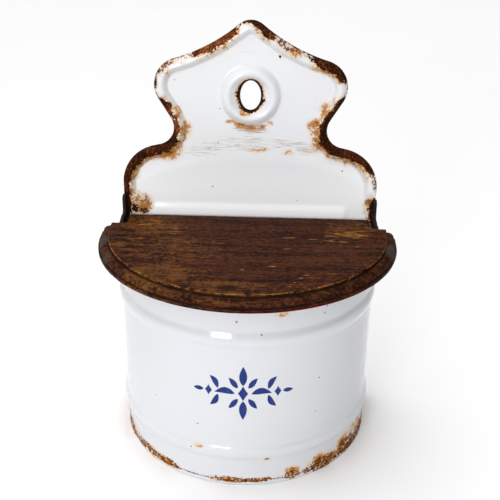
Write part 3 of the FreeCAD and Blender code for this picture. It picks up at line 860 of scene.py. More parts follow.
def worn_edge(marks: EdgeMarks, spots: Sequence[float], along: np.ndarray) -> tuple[np.ndarray, np.ndarray]:
    """Wear of an edge, which runs evenly from mark to mark.

    Args:
        marks: The marks.
        spots: Where each mark lies along the edge.
        along: Where each point lies along it.

    Returns:
        Strength and reach at each point.
    """
    strengths, reaches = [mark.strength for mark in marks], [mark.reach for mark in marks]
    return np.interp(along, spots, strengths), np.interp(along, spots, reaches)


# Sub-assemblies


@dataclass(frozen=True)
class Arc:
    """A round of the crest's outline: its centre and its radius."""

    across: float
    up: float
    radius: float

    def centre(self) -> np.ndarray:
        """The centre as a point."""
        return np.array([self.across, self.up])


@dataclass
class BackPlate:
    """The pressed back plate with its crest, rim bead and hanging hole."""

    half_width: float = 80.5
    front: float = 56.4
    gauge: float = 1.2
    shoulder: Arc = Arc(54.5, 155.5, 26.0)
    neck: Arc = Arc(58.8, 193.0, 11.5)
    bulge: Arc = Arc(41.9, 219.5, 16.7)
    peak: Arc = Arc(0.0, 248.0, 11.0)
    flank_round: float = 112.0
    edge_drop: float = 0.6
    edge_ease: float = 0.7
    rim_middle: float = 4.3
    rim_half: float = 3.5
    rim_rise: float = 3.0
    rim_foot: float = 146.0
    rim_run_out: float = 9.0
    hole_height: float = 214.0
    hole_half_width: float = 6.3
    hole_half_length: float = 9.1
    lip_drop: float = 0.9
    lip_ease: float = 1.6
    boss_radius: float = 13.9
    boss_half: float = 4.3
    boss_rise: float = 3.4
    swage_height: float = 136.3
    swage_half: float = 4.4
    swage_rise: float = 1.2
    swage_reach: float = 64.5
    swage_run_out: float = 5.0
    swage_slope: float = 1.5

    # Where wear is full, where it ends and how strong it is, and how uneven its reach is.
    # Where the painted light low on the plate is full and where it ends.
    painted_light_below: Pair = (142.0, 186.0)
    rust_share: Pair = (0.30, 1.0)
    halo_share: Triple = (0.6, 1.7, 0.72)
    edge_rust: Triple = (0.2, 1.5, 0.56)
    lip_rust: Triple = (0.6, 2.6, 0.95)
    lip_stain: Triple = (1.5, 5.0, 0.5)
    least_reach: float = 0.5
    reach_ripples: tuple[Triple, ...] = ((0.35, 6.0, 2.3), (0.2, 2.2, 7.7))

    # How closely the mesh's points lie, and where its rings and lines run.
    pitch: float = 2.0
    grid_low: Pair = (-80.0, 1.5)
    grid_high: Pair = (80.0, 258.0)
    side_step: float = 1.5
    arc_step: float = 0.9
    foot_step: float = 3.0
    edge_insets: tuple[float, ...] = (0.0, 0.15, 0.4, 0.7)
    band: Triple = (1.1, 9.2, 0.45)
    hole_points: int = 72
    lip_margins: tuple[float, ...] = (0.25, 0.6, 1.0, 1.6)
    boss_points: int = 96
    boss_rings: Triple = (11.2, 19.0, 0.6)
    boss_clear: float = 19.4
    swage_lines: Triple = (-5.0, 7.7, 0.7)
    swage_clear: Pair = (-5.8, 8.4)
    side_clear: float = 1.2
    edge_clear: float = 0.8
    far_inset: float = 99.0

    edge_wear: EdgeMarks = edge_marks(
        (80.5, 0, 0.3, 1.5), (80.5, 120, 0.4, 2), (80.5, 138, 0.8, 6), (80.5, 146, 0.8, 6),
        (80.5, 152, 0.36, 3), (79.5, 163, 0.52, 5.5), (76, 170, 0.85, 6), (66, 178.5, 1, 7),
        (55, 182, 1.05, 7.4), (47.5, 188, 1.1, 8), (47.3, 196, 1, 7.2), (51, 206, 0.62, 6.5),
        (55, 211, 0.85, 6.5), (58, 216, 0.42, 4), (58.6, 221, 0.28, 2), (57.5, 226, 0.82, 6),
        (50, 234, 1.05, 7.8), (42, 236.5, 0.95, 7.2), (37, 238, 0.6, 5), (33, 239.5, 0.32, 3),
        (24, 243.5, 0.46, 8), (15, 248.5, 0.48, 7), (10, 253, 0.86, 6.5), (3.5, 258.5, 0.92, 4.5),
        (-2, 259, 0.62, 2.5), (-7, 256.5, 0.44, 2.5), (-12, 252, 0.8, 6.2), (-22, 245, 0.82, 6.8),
        (-31, 239.5, 0.74, 5.6), (-38, 237.5, 0.38, 4), (-48, 235, 0.46, 5), (-54, 230.5, 0.5, 7),
        (-58, 224, 0.4, 3), (-58.6, 220.5, 0.8, 3.2), (-58, 216, 0.36, 3), (-54.5, 210.5, 0.82, 6),
        (-51.5, 205, 0.88, 5.4), (-48, 198, 0.66, 7), (-47.3, 191, 0.74, 7.6), (-50, 185.5, 0.98, 7.8),
        (-58, 181, 1.1, 8), (-68, 178, 1.1, 8), (-77, 168.5, 1.1, 7.6), (-80.5, 158, 1.05, 6.4),
        (-80.5, 146, 1, 7), (-80.5, 138, 0.92, 8), (-80.5, 120, 0.4, 2), (-80.5, 0, 0.3, 1.5),
    )
    panel_wear: Patches = patches(
        (-50.4, 207.5, 4.2, 0.75), (17.2, 237.8, 1.5, 0.9), (-74, 138.5, 5.5, 0.66),
        (-68, 136.8, 4, 0.58, 1.6), (78, 141, 5, 0.6), (0, 194, 3, 0.34, 3.6),
        (-7.6, 214.5, 4.6, 0.8, 0.55), (7.4, 210.5, 4.2, 0.74, 0.5),
    )
    fresh_rust: Patches = patches(
        (-20, 246, 20, 1), (-48, 197, 13, 0.9), (-51, 233, 10, 0.8), (18, 247, 14, 0.8),
        (-66, 138, 9, 0.5),
    )
    stains: Patches = patches(
        (41, 195, 9, 0.86), (47, 206, 8, 0.72), (44, 185, 10, 0.82), (-42, 192, 10, 0.76),
        (-46, 203, 7, 0.62), (-52, 177, 10, 0.7, 1.6), (-69, 142, 11, 0.8), (-12.5, 197.5, 2.8, 0.8, 1.8),
        (-6, 195, 3, 0.84, 2), (0.5, 193.6, 3, 0.86, 2.2), (7, 194.6, 2.8, 0.82, 2),
        (12, 197, 2.6, 0.76, 1.6), (4, 179.5, 3, 0.66, 4), (-3, 203.5, 4, 0.6, 1.6), (77, 146, 6, 0.85),
        (24, 178, 3, 0.6, 2.4), (60, 175.5, 7, 0.62, 1.8), (26, 241, 7, 0.6), (-20, 245, 9, 0.28),
    )
    crazes: Patches = patches(
        (0, 184, 17, 0.57, 3.2), (-30, 178, 10, 0.56, 3), (36, 181, 9, 0.62, 2.4), (-3, 241, 6, 0.5, 3),
        (0, 193, 7, 0.68, 3.4), (-40, 171, 7, 0.5, 3), (52, 175, 7, 0.54, 2.4), (-28, 235, 5, 0.5, 2.6),
        (-18, 229, 4, 0.48, 2), (-26, 181.5, 8, 0.58, 3), (26, 184, 8, 0.6, 3),
    )

    def chain(self) -> tuple[np.ndarray, np.ndarray]:
        """The right side of the outline, from its foot to the peak.

        Returns:
            Points, and outward normals at them.
        """
        shoulder, neck, bulge, peak = self.shoulder, self.neck, self.bulge, self.peak
        up = neck.centre() - shoulder.centre()
        first = heading(up) - math.acos((shoulder.radius + neck.radius) / np.linalg.norm(up))
        out = bulge.centre() - neck.centre()
        second = heading(out) - math.acos(-(neck.radius + bulge.radius) / np.linalg.norm(out))
        flank = self.flank_centre()
        third = heading(flank - bulge.centre())
        fourth = heading(flank - peak.centre())
        arcs = (
            (shoulder.centre(), shoulder.radius, 0.0, first),
            (neck.centre(), -neck.radius, first, second),
            (bulge.centre(), bulge.radius, second, third),
            (flank, -self.flank_round, third, fourth),
            (peak.centre(), peak.radius, fourth, math.pi / 2),
        )
        heights = np.arange(0.0, shoulder.up - self.side_step / 3, self.side_step)
        points = [np.stack([np.full(len(heights), self.half_width), heights], 1)]
        normals = [np.tile((1.0, 0.0), (len(heights), 1))]
        for middle, radius, begin, end in arcs:
            count = max(4, int(abs(radius * (end - begin)) / self.arc_step))
            outward = facing(np.linspace(begin, end, count))
            curve = middle + radius * outward
            tail = points[-1][-1]
            steps = np.linspace(0, 1, int(np.linalg.norm(curve[0] - tail)) + 2)[1:-1, None]
            points += [tail + (curve[0] - tail) * steps, curve]
            normals += [np.tile(outward[0], (len(steps), 1)), outward]
        return np.concatenate(points), np.concatenate(normals)

    def flank_centre(self) -> np.ndarray:
        """Centre of the hollow flank, which touches the bulge and the peak.

        Returns:
            The centre as a point.
        """
        start = self.bulge.centre()
        apart = self.peak.centre() - start
        reach, far = self.bulge.radius + self.flank_round, self.peak.radius + self.flank_round
        gap = np.linalg.norm(apart)
        along = (gap ** 2 + reach ** 2 - far ** 2) / (2 * gap)
        sideways = np.array([apart[1], -apart[0]]) / gap
        return start + apart / gap * along + sideways * math.sqrt(reach ** 2 - along ** 2)

    def outline(self) -> tuple[np.ndarray, np.ndarray]:
        """The whole outline, from the right foot over the peak to the left foot.

        Returns:
            Points, and outward normals at them.
        """
        flip = np.array([-1.0, 1.0])
        points, normals = (np.concatenate([half, half[-2::-1] * flip]) for half in self.chain())
        return points, normals

    def oval(self, margin: float) -> np.ndarray:
        """The hanging hole's outline, grown by a margin."""
        halves = (self.hole_half_width + margin, self.hole_half_length + margin)
        return circle(self.hole_points) * halves + (0, self.hole_height)

    def height(self, places: np.ndarray, inset: np.ndarray) -> np.ndarray:
        """How far the enamelled face stands out at each place.

        Args:
            places: Points in the plate's plane.
            inset: Their distances from the outline.

        Returns:
            Heights over the flat of the plate.
        """
        rim = hump(inset - self.rim_middle, self.rim_half, self.rim_rise)
        rim = rim * eased(places[:, 1], self.rim_foot, self.rim_foot + self.rim_run_out)
        edge = -self.edge_drop * np.clip(1 - inset / self.edge_ease, 0, 1) ** 2
        from_hole = places - (0, self.hole_height)
        boss = hump(np.hypot(*from_hole.T) - self.boss_radius, self.boss_half, self.boss_rise)
        share = np.hypot(*(from_hole / (self.hole_half_width, self.hole_half_length)).T)
        past = (share - 1) * self.hole_half_width
        lip = -self.lip_drop * np.clip(1 - past / self.lip_ease, 0, 1) ** 2
        above = places[:, 1] - self.swage_height
        above = np.where(above > 0, above / self.swage_slope, above)
        swage = hump(above, self.swage_half, self.swage_rise)
        full = self.swage_reach - self.swage_run_out
        swage = swage * fading(np.abs(places[:, 0]), full, self.swage_reach)
        return rim + edge + boss + lip + swage

    def inner_points(self, border: np.ndarray) -> np.ndarray:
        """Points inside the beaded band: rings round the hole, lines along the swage, a grid elsewhere.

        Args:
            border: The band's inner line, closed along the foot.

        Returns:
            The points.
        """
        middle = (0, self.hole_height)
        rings = [self.oval(margin) for margin in self.lip_margins]
        rings += [circle(self.boss_points) * radius + middle for radius in np.arange(*self.boss_rings)]
        spread = scattered(border, self.grid_low, self.grid_high, self.pitch, self.edge_clear)
        spread = spread[np.hypot(*(spread - middle).T) > self.boss_clear]
        above = spread[:, 1] - self.swage_height
        spread = spread[(above < self.swage_clear[0]) | (above > self.swage_clear[1])]
        wide = self.half_width - self.band[1] - self.side_clear
        first, last, step = self.swage_lines
        heights = np.arange(self.swage_height + first, self.swage_height + last, step)
        lines = [across_at(np.arange(number % 2 - wide, wide, self.pitch), height)
                 for number, height in enumerate(heights)]
        return np.concatenate([*rings, spread, *lines])

    def build(self, finish: Material) -> Piece:
        """Builds the plate as a closed sheet with the values that its finish reads.

        Args:
            finish: The enamel.

        Returns:
            The plate.
        """
        edge, normals = self.outline()
        first, last, step = self.band
        insets = np.concatenate([self.edge_insets, np.arange(first, last + 0.01, step)])
        rings = [edge - normals * inset for inset in insets]
        foot = np.arange(rings[-1][-1][0] + self.foot_step, rings[-1][0][0] - 1, self.foot_step)
        foot = across_at(foot, 0.0)
        hole = self.oval(0.0)
        border = np.concatenate([rings[-1], foot])
        inner = self.inner_points(border)
        flat = np.concatenate([*rings, foot, hole, inner])
        inset = np.full(len(flat), self.far_inset)
        inset[:len(insets) * len(edge)] = np.repeat(insets, len(edge))
        y = self.front - self.height(flat, inset)
        back = np.minimum(y, self.front) + self.gauge
        skin = Skin()
        fore = skin.add(np.stack([flat[:, 0], y, flat[:, 1]], 1))
        rear = skin.add(np.stack([flat[:, 0], back, flat[:, 1]], 1))
        rows = np.arange(len(insets) * len(edge)).reshape(len(insets), len(edge))
        for outer_row, inner_row in zip(rows, rows[1:]):
            skin.strip(fore[inner_row], fore[outer_row], False)
            skin.strip(rear[outer_row], rear[inner_row], False)
        start = rows[-1][0]
        triangles = filled(border, inner, hole)
        skin.fill(fore[start:], triangles)
        skin.fill(rear[start:], triangles[:, ::-1])
        below = rows.size + np.arange(len(foot))
        loop = np.concatenate([rows[0], rows[1:, -1], below, rows[:0:-1, 0]])
        skin.strip(fore[loop], rear[loop], True)
        lip = rows.size + len(foot) + np.arange(len(hole))
        skin.strip(rear[lip], fore[lip], True)
        return skin.made("enamel_back_plate", finish, self.values(flat, edge, hole))

    def values(self, flat: np.ndarray, edge: np.ndarray, hole: np.ndarray) -> dict[Field, np.ndarray]:
        """Rust, stain, craze, painted light low on the plate and fresh rust on both faces.

        Args:
            flat: Points in the plate's plane.
            edge: The outline.
            hole: The hole's outline.

        Returns:
            Values for the front's points and then for the back's.
        """
        x, z = flat.T
        depth, number = closest(flat, edge)
        lip = closest(flat, hole)[0]
        spots = closest(np.array([(mark.across, mark.up) for mark in self.edge_wear]), edge)[1]
        strength, reach = worn_edge(self.edge_wear, spots, number)
        reach = reach * uneven(level(flat, 0.0), self.reach_ripples)
        share = depth / np.maximum(reach, self.least_reach)
        rim = np.maximum(strength * fading(share, *self.rust_share), fading(depth, *self.edge_rust))
        rim = np.maximum(rim, fading(lip, *self.lip_rust))
        halo = strength * fading(share, *self.halo_share)
        stain = np.maximum(worn_by(self.stains, x, z), halo)
        front = {
            Field.RUST: np.maximum(rim, worn_by(self.panel_wear, x, z)),
            Field.STAIN: np.maximum(stain, fading(lip, *self.lip_stain)),
            Field.CRAZE: worn_by(self.crazes, x, z),
            Field.PAINTED_LIGHT: fading(z, *self.painted_light_below),
            Field.FRESH: worn_by(self.fresh_rust, x, z),
        }
        none = np.zeros(len(flat))
        back = {Field.RUST: rim, Field.STAIN: halo, Field.FRESH: front[Field.FRESH]}
        return {field: np.concatenate([values, back.get(field, none)]) for field, values in front.items()}


@dataclass(frozen=True)
class RoundFront:
    """The bin's plan: straight sides and a half-round front."""

    axis: float = 34.8
    pitch: float = 1.4

    def stations(self, radius: float, rear: float) -> tuple[np.ndarray, np.ndarray]:
        """Places along the plan, from the left rear round the front to the right rear.

        Args:
            radius: Radius that sets how closely the places lie.
            rear: Where the straight sides end.

        Returns:
            Points on the middle line, and outward directions from them.
        """
        side = np.linspace(rear, self.axis, max(2, int((rear - self.axis) / self.pitch)))[:-1]
        turns = np.linspace(math.pi, 2 * math.pi, int(math.pi * radius / self.pitch))
        middle = np.concatenate([side, np.full(len(turns), self.axis), side[::-1]])
        right = np.tile((1.0, 0.0), (len(side), 1))
        return np.stack([np.zeros(len(middle)), middle], 1), np.concatenate([-right, facing(turns), right])


@dataclass
class Bin:
    """The beaded wall and the seamed base."""

    plan: RoundFront = RoundFront()
    radius: float = 79.2
    gauge: float = 1.2
    rear: float = 56.4
    hem: float = 3.6
    hem_round: float = 1.1
    hem_turn: Pair = (0.5, 0.6)
    bead_half: float = 5.0
    bead_rise: float = 1.8
    beads: Pair = (24.3, 101.9)
    roll_height: float = 124.7
    roll_radius: float = 2.0
    roll_rear: float = 36.9
    roll_run_out: float = 1.0
    roll_spare: float = 1.02
    flange_width: float = 9.0
    flange_low: float = 32.3
    flange_high: float = 93.9
    pan_height: float = 9.0
    seam_gap: float = 0.1
    band_foot: float = 1.6
    band_top: tuple[Pair, ...] = ((0.0, 0.75), (0.12, 0.4), (0.5, 0.1))

    # Where rust is full, where it ends and how strong it is, and how uneven it is.
    rust_share: Pair = (0.15, 1.0)
    seam_rust: Triple = (0.2, 0.7, 0.44)
    band_haste: float = 2.2
    stain_share: float = 0.85
    inner_share: float = 0.7
    inner_from: float = 1.0
    least_reach: float = 0.6
    reach_ripples: tuple[Triple, ...] = ((0.5, 5.0, 3.1), (0.3, 2.0, 8.3))
    rust_ripples: tuple[Triple, ...] = ((0.35, 9.0, 6.4),)

    # How closely the mesh's points lie.
    pitch: float = 1.2
    hem_steps: tuple[float, ...] = (0.0, 0.12, 0.3, 0.5)
    hem_clear: float = 0.8
    roll_points: int = 13
    flange_rows: int = 24
    nose_points: int = 6
    floor_shares: tuple[float, ...] = (0.02, 0.25, 0.5, 0.75)
    floor_depth: float = 40.0

    foot_wear: EdgeMarks = edge_marks(
        (-120, 0, 0.55, 8), (-90, 0, 0.72, 12), (-78, 0, 0.8, 14), (-66, 0, 0.7, 10), (-61, 0, 0.46, 6),
        (-55, 0, 0.72, 6.5), (-47, 0, 0.68, 6), (-41, 0, 0.66, 6), (-33, 0, 0.74, 6.5), (-27, 0, 0.22, 4),
        (-15, 0, 0.22, 4), (-11, 0, 0.66, 4.5), (2, 0, 0.66, 4.5), (11, 0, 0.62, 4), (14.5, 0, 0.24, 4),
        (19, 0, 0.24, 4), (23, 0, 0.82, 9), (27.5, 0, 0.26, 5), (34, 0, 0.72, 9), (42, 0, 0.9, 12),
        (48, 0, 0.56, 8), (55, 0, 0.86, 12), (64, 0, 0.72, 11), (76, 0, 0.78, 13), (90, 0, 0.74, 14),
        (120, 0, 0.55, 8),
    )
    chips: Patches = patches(
        (11.4, 20.2, 1.4, 0.75), (-2, 114, 0.9, 0.7), (37, 8, 4.5, 1, 0.8), (52, 9.5, 5, 1, 0.8),
    )
    stains: Patches = patches(
        (-68, 8, 13, 0.55, 1.6), (-44, 4, 8, 0.48, 2.2), (40, 7, 10, 0.52, 1.8), (60, 11, 13, 0.56, 1.4),
        (11.4, 20.2, 3, 0.5), (-18.5, 27, 2.4, 0.66, 1.6), (16, 118, 2.6, 0.6, 2.4), (-5, 3, 5, 0.3, 3),
        (23, 7, 6, 0.84), (37, 9, 8, 0.86, 0.8), (52, 11, 9, 0.86, 0.8), (68, 13, 10, 0.8, 0.8),
        (-80, 9, 9, 0.7),
    )

    def swell(self, heights: np.ndarray) -> np.ndarray:
        """How far the beads stand out at each height."""
        return sum(hump(heights - middle, self.bead_half, self.bead_rise) for middle in self.beads)

    def section(self, roll: float) -> np.ndarray:
        """The wall's section, up its outer face from the hem and down its inner face.

        Args:
            roll: Radius of the rolled edge.

        Returns:
            Points as radius and height.
        """
        half = self.gauge / 2
        turn = math.acos(min(1.0, half / roll))
        top = self.roll_height - roll * math.sin(turn)
        count = int((self.roll_height - self.hem) / self.pitch)
        heights = np.linspace(self.hem + self.hem_clear, top, count)
        heights = np.concatenate([self.hem + np.array(self.hem_steps), heights])
        inward, over = self.hem_turn
        turned_in = inward * np.clip(1 - (heights - self.hem) / over, 0, 1) ** 2
        outer = np.stack([self.radius + self.swell(heights) - turned_in, heights], 1)
        crown = facing(np.linspace(-turn, math.pi / 2, self.roll_points)[1:]) * roll
        middle = (self.radius - half, self.roll_height)
        inner = np.concatenate([outer - (self.gauge, 0), crown * (-1, 1) + middle])
        return np.concatenate([outer, crown + middle, inner[-2::-1]])

    def around(self, places: np.ndarray) -> np.ndarray:
        """Angle of each place about the round front's axis, in degrees from the middle of the front."""
        return np.degrees(np.arctan2(places[:, 0], -(places[:, 1] - self.plan.axis)))

    def values(self, places: np.ndarray) -> dict[Field, np.ndarray]:
        """Rust and stain round the foot of the bin.

        Args:
            places: The points.

        Returns:
            Values at them.
        """
        turn, up = self.around(places), places[:, 2]
        strength, reach = worn_edge(self.foot_wear, [mark.across for mark in self.foot_wear], turn)
        reach = np.maximum(reach * uneven(places, self.reach_ripples), self.least_reach)
        strength = strength * uneven(places, self.rust_ripples)
        above = up - self.hem
        from_seam = np.where(above > 0, above, -above * self.band_haste)
        rust = strength * fading(from_seam / reach, *self.rust_share)
        rust = np.maximum(rust, fading(np.abs(above), *self.seam_rust))
        rust = np.maximum(rust, worn_by(self.chips, turn, up))
        stain = np.maximum(worn_by(self.stains, turn, up), rust * self.stain_share)
        from_axis = np.linalg.norm(places[:, :2] - (0, self.plan.axis), axis=1)
        hidden = (from_axis < self.radius - self.gauge / 2) & (above > self.inner_from)
        rust = np.where(hidden, rust * self.inner_share, rust)
        none = np.zeros(len(places))
        return {Field.RUST: rust, Field.STAIN: stain,
                Field.CRAZE: none, Field.PAINTED_LIGHT: none, Field.FRESH: none}

    def build_wall(self, finish: Material) -> Piece:
        """Builds the beaded wall with its rolled edge and its flanges.

        Args:
            finish: The enamel.

        Returns:
            The wall.
        """
        skin = Skin()
        middle, out = self.plan.stations(self.radius, self.rear)
        least = self.gauge / 2
        rolls = fading(middle[:, 1], self.roll_rear - self.roll_run_out, self.roll_rear)
        rolls = least * self.roll_spare + (self.roll_radius - least) * rolls
        columns = []
        for point, outward, roll in zip(middle, out, rolls):
            section = self.section(roll)
            columns.append(np.concatenate([point + outward * section[:, :1], section[:, 1:]], 1))
        rows = np.array(skin.loft(columns, False))
        skin.strip(rows[:, -1], rows[:, 0], False)
        half = rows.shape[1] // 2 + 1
        for first, second in ((rows[0], rows[0, ::-1]), (rows[-1, ::-1], rows[-1])):
            skin.strip(first[:half], second[:half], False)
        for side in (-1, 1):
            self.add_flange(skin, side)
        return skin.made("enamel_bin_wall", finish, self.values(skin.places()))

    def add_flange(self, skin: Skin, side: int) -> None:
        """Adds one turned-in flange that lies on the plate.

        Args:
            skin: The wall's skin.
            side: -1 for the left and 1 for the right.
        """
        outer, inner = self.radius - self.gauge / 2, self.radius - self.flange_width
        front = self.rear - self.gauge
        corners = np.array([(outer, front), (inner, front), (inner, self.rear), (outer, self.rear)])
        heights = np.linspace(self.flange_low, self.flange_high, self.flange_rows)
        rows = skin.loft([level(corners * (side, 1), height) for height in heights], True)
        skin.faces += [tuple(rows[0][::-1]), tuple(rows[-1])]

    def build_base(self, finish: Material) -> Piece:
        """Builds the base pan: a hemmed band, an inner flange and the floor of the bin.

        Args:
            finish: The enamel.

        Returns:
            The base pan.
        """
        skin = Skin()
        flange = self.radius - self.gauge - self.seam_gap
        tray = flange - self.gauge
        nose = facing(np.linspace(-math.pi / 2, 0, self.nose_points)) * self.hem_round
        nose = nose + (self.radius - self.hem_round, self.hem_round)
        band = [(self.radius - inset, self.hem - drop) for inset, drop in self.band_top]
        rise = [(flange, self.hem), (flange, self.pan_height)]
        places = [(self.radius * s, 0.0, (1 - s) * self.floor_depth) for s in self.floor_shares]
        places += [(*place, 0.0) for place in (*nose, (self.radius, self.band_foot), *band, *rise)]
        places += [(tray, height, self.gauge) for height in (self.pan_height, self.gauge)]
        places += [(tray * s, self.gauge, self.gauge + (1 - s) * self.floor_depth)
                   for s in reversed(self.floor_shares)]
        middle, out = self.plan.stations(self.radius, self.rear)
        rows = skin.loft([level(np.minimum(middle, (0, self.rear - inset)) + out * radius, height)
                          for radius, height, inset in places], True)
        skin.faces += [tuple(rows[0]), tuple(rows[-1][::-1])]
        return skin.made("enamel_base_pan", finish, self.values(skin.places()))


@dataclass
class Lid:
    """The moulded wooden lid."""

    plan: RoundFront = RoundFront(pitch=1.2)
    radius: float = 92.4
    low: float = 127.0
    thickness: float = 8.5
    notch: float = 39.1
    half_tongue: float = 76.5
    rear: float = 53.8
    fillet: float = 2.1
    ledge: float = 0.9
    ovolo: float = 4.2
    flat: float = 1.1
    cove: float = 0.25
    edge_round: float = 0.8
    rear_round: float = 1.2
    lower_arris: tuple[Triple, ...] = ((0.5, 0.0, 0.5), (0.12, 0.2, 0.1), (0.0, 0.6, 0.0))
    upper_arris: tuple[Pair, ...] = ((0.0, -0.5), (0.15, -0.12), (0.5, 0.0))
    top_inset: Pair = (2.2, 2.6)
    corner_share: float = 0.2
    tongue_share: float = 0.4

    # Where wear is full, where it ends and how strong it is, and how deep the dents are.
    raised_from: Pair = (-1.5, -0.4)
    nose_middle: float = 0.1
    nose_rub: Triple = (0.1, 0.75, 0.60)
    least_worn: float = 0.13
    paint_from: float = 1.2
    paint_past: float = 0.3
    paint_depth: Pair = (1.5, 3.0)
    edge_tan: float = 0.24
    fold_drop: float = 2.0
    # The fold and quirk values give painted shadow lines in the moulding's creases; the edge values give dust
    # plus painted shade, darker towards the right.
    fold_shade: Triple = (0.2, 1.3, 0.6)
    quirk_rise: float = 0.4
    quirk_shade: Triple = (0.2, 0.9, 0.6)
    edge_dust_and_shade: Pair = (0.12, 0.16)
    rightward_shade_span: Pair = (0.0, 70.0)
    dents: tuple[tuple[float, ...], ...] = ((9.0, 5.3, 1.0, 0.25, 0.8), (3.0, 9.1, 0.0, 0.35, 0.5))
    dent_span: Pair = (1.0, 3.0)

    # How closely the mesh's points lie.
    top_pitch: float = 1.0
    under_pitch: float = 2.4
    grid_low: Pair = (-90.3, -56.0)
    grid_high: Pair = (90.0, 53.0)
    edge_clear: float = 0.6
    ovolo_points: int = 9
    edge_points: int = 6
    corner_points: int = 8
    rear_points: int = 64

    ochres: Patches = patches(
        (-62, 40, 15, 0.52, 1.5), (-52, 24, 14, 0.46, 1.8), (-34, 9, 14, 0.36, 2),
        (-70, 13, 12, 0.42, 1.2), (63, 29, 16, 0.52, 1.8), (50, 20, 13, 0.4, 2), (73, 36, 12, 0.48, 1.4),
        (15, -12, 16, 0.36, 2.4), (10, 12, 18, 0.28, 2.6), (40, -25, 14, 0.36, 2),
        (-25, -25, 14, 0.24, 2),
    )
    scratches: Patches = patches(
        (-66.8, 37.9, 2.4, 0.66, 2.4), (-44.4, 31, 1.9, 0.66, 1.6), (-64.2, 15.7, 1.6, 0.66, 2.8),
        (-56.2, 14.8, 1.5, 0.64, 2), (-14.4, 11.8, 1.5, 0.68, 3), (-22, -26, 1.6, 0.66, 1.8),
        (-19, -23, 1.6, 0.66, 1.8), (-45.8, -18.2, 2.2, 0.58, 3), (-0.7, -22.4, 1.5, 0.64, 2.2),
        (25.4, 22.7, 1.7, 0.68, 4.4), (40, 20.6, 1.5, 0.74, 5), (49.5, 19.4, 1.5, 0.74, 5),
        (58.5, 18.3, 1.5, 0.74, 4.4), (24.5, 6.4, 1.5, 0.68, 4), (16.2, -17.7, 2.1, 0.7, 1.5),
        (25.5, -41, 1.8, 0.66, 1.3), (28.5, -36.5, 1.7, 0.66, 1.3), (32, -31, 1.7, 0.66, 1.4),
        (35, -27, 1.9, 0.68, 1.4), (66.4, 12.4, 1.6, 0.66, 2), (51.2, 25.8, 3.2, 0.6, 3.2),
        (56.7, 14, 1.6, 0.66, 1.6), (4.6, -44, 1.8, 0.6, 2.4),
    )
    tans: Patches = patches(
        (-60, 36, 24, 0.84, 1.4), (-42, 2, 32, 0.62, 1.5), (-48, -30, 22, 0.86, 1.7),
        (-10, -44, 18, 0.7, 2.4), (30, -40, 16, 0.45, 2), (66, 40, 20, 0.76, 1.5),
        (62, -20, 22, 0.36, 1.4), (-74, 12, 16, 0.74),
    )
    grimes: Patches = patches(
        (-7.8, -44.7, 6, 0.46, 1.7), (-74.8, 13.8, 5, 0.54, 2.2), (-45.7, -32.4, 3.5, 0.48, 1.8),
        (-67, 34, 3, 0.5, 1.8), (13.2, -31.7, 4.5, 0.4, 1.3), (-56, 30, 2.4, 0.5, 2.4),
        (-72, 26, 3, 0.5, 2), (-70, -4, 4, 0.5, 1.6), (-40, 30, 2.2, 0.46, 2.4),
    )
    paints: Patches = patches(
        (8, -57, 16, 0.72), (24, -55, 17, 0.82), (38, -50, 17, 0.86), (52, -42, 15, 0.8),
        (64, -30, 12, 0.62), (-20, -55, 16, 0.42), (85, 0, 18, 0.42),
    )
    bleaches: Patches = patches(
        (-90, 18, 16, 0.6), (-84, -4, 14, 0.52), (-72, -22, 12, 0.44), (90, 14, 18, 0.62),
        (-30, -52, 10, 0.3, 2),
    )

    def step(self) -> float:
        """How far the raised middle lies in from the edge."""
        return self.ledge + self.ovolo + self.flat

    def profile(self) -> list[Triple]:
        """The edge from the underside to the raised middle.

        Returns:
            Rows of inset, height and inset of the rear edge.
        """
        ledge, top, step = self.low + self.fillet, self.low + self.thickness, self.step()
        rows = [(inset, self.low + up, back) for inset, up, back in self.lower_arris]
        rows += [(inset, ledge + up, 0.0) for inset, up in (*self.upper_arris, (self.ledge, 0.0))]
        for turn in np.linspace(0, math.pi / 2, self.ovolo_points)[1:]:
            rise = self.ovolo * math.sin(turn)
            rows.append((self.ledge + self.ovolo * (1 - math.cos(turn)), ledge + rise, 0.0))
        rows += [(step - self.cove, ledge + self.ovolo, 0.0), (step, ledge + self.ovolo + self.cove, 0.0)]
        for turn in np.linspace(0, math.pi / 2, self.edge_points):
            over = 1 - math.cos(turn)
            height = top - self.edge_round + self.edge_round * math.sin(turn)
            rows.append((step + self.edge_round * over, height, self.rear_round * over))
        return [*rows, (step + self.top_inset[0], top, self.top_inset[1])]

    def ring(self, inset: float, height: float, rear_inset: float) -> np.ndarray:
        """One closed line round the lid.

        Args:
            inset: How far it lies in from the front edge.
            height: Its height.
            rear_inset: How far it lies in from the rear edge.

        Returns:
            Its points, turning left.
        """
        corner = self.notch - rear_inset * self.corner_share
        side, back = self.half_tongue - rear_inset * self.tongue_share, self.rear - rear_inset
        middle, out = self.plan.stations(self.radius, corner)
        shelf = np.linspace(self.radius - inset, side, self.corner_points)[1:]
        flank = np.linspace(corner, back, self.corner_points)[1:]
        right = np.concatenate([across_at(shelf, corner), across_at(flank, side)[:, ::-1]])
        rear = across_at(np.linspace(side, -side, self.rear_points)[1:-1], back)
        front = middle + out * (self.radius - inset)
        return level(np.concatenate([front, right, rear, right[::-1] * (-1, 1)]), height)

    def bruised(self, row: np.ndarray, inset: float) -> np.ndarray:
        """Dents an edge line a little, as long use does.

        Args:
            row: The line.
            inset: How far it lies in from the front edge.

        Returns:
            The dented line.
        """
        depth = np.zeros(len(row))
        for pitch, seed, drift, least, size in self.dents:
            depth = depth + np.clip(wander(row, pitch, seed + drift * inset) - least, 0, 1) * size
        depth = depth * eased(self.notch - row[:, 1], *self.dent_span)
        away = row[:, :2] - (0, self.plan.axis)
        return row - level(away / np.linalg.norm(away, axis=1, keepdims=True) * depth[:, None], 0.0)

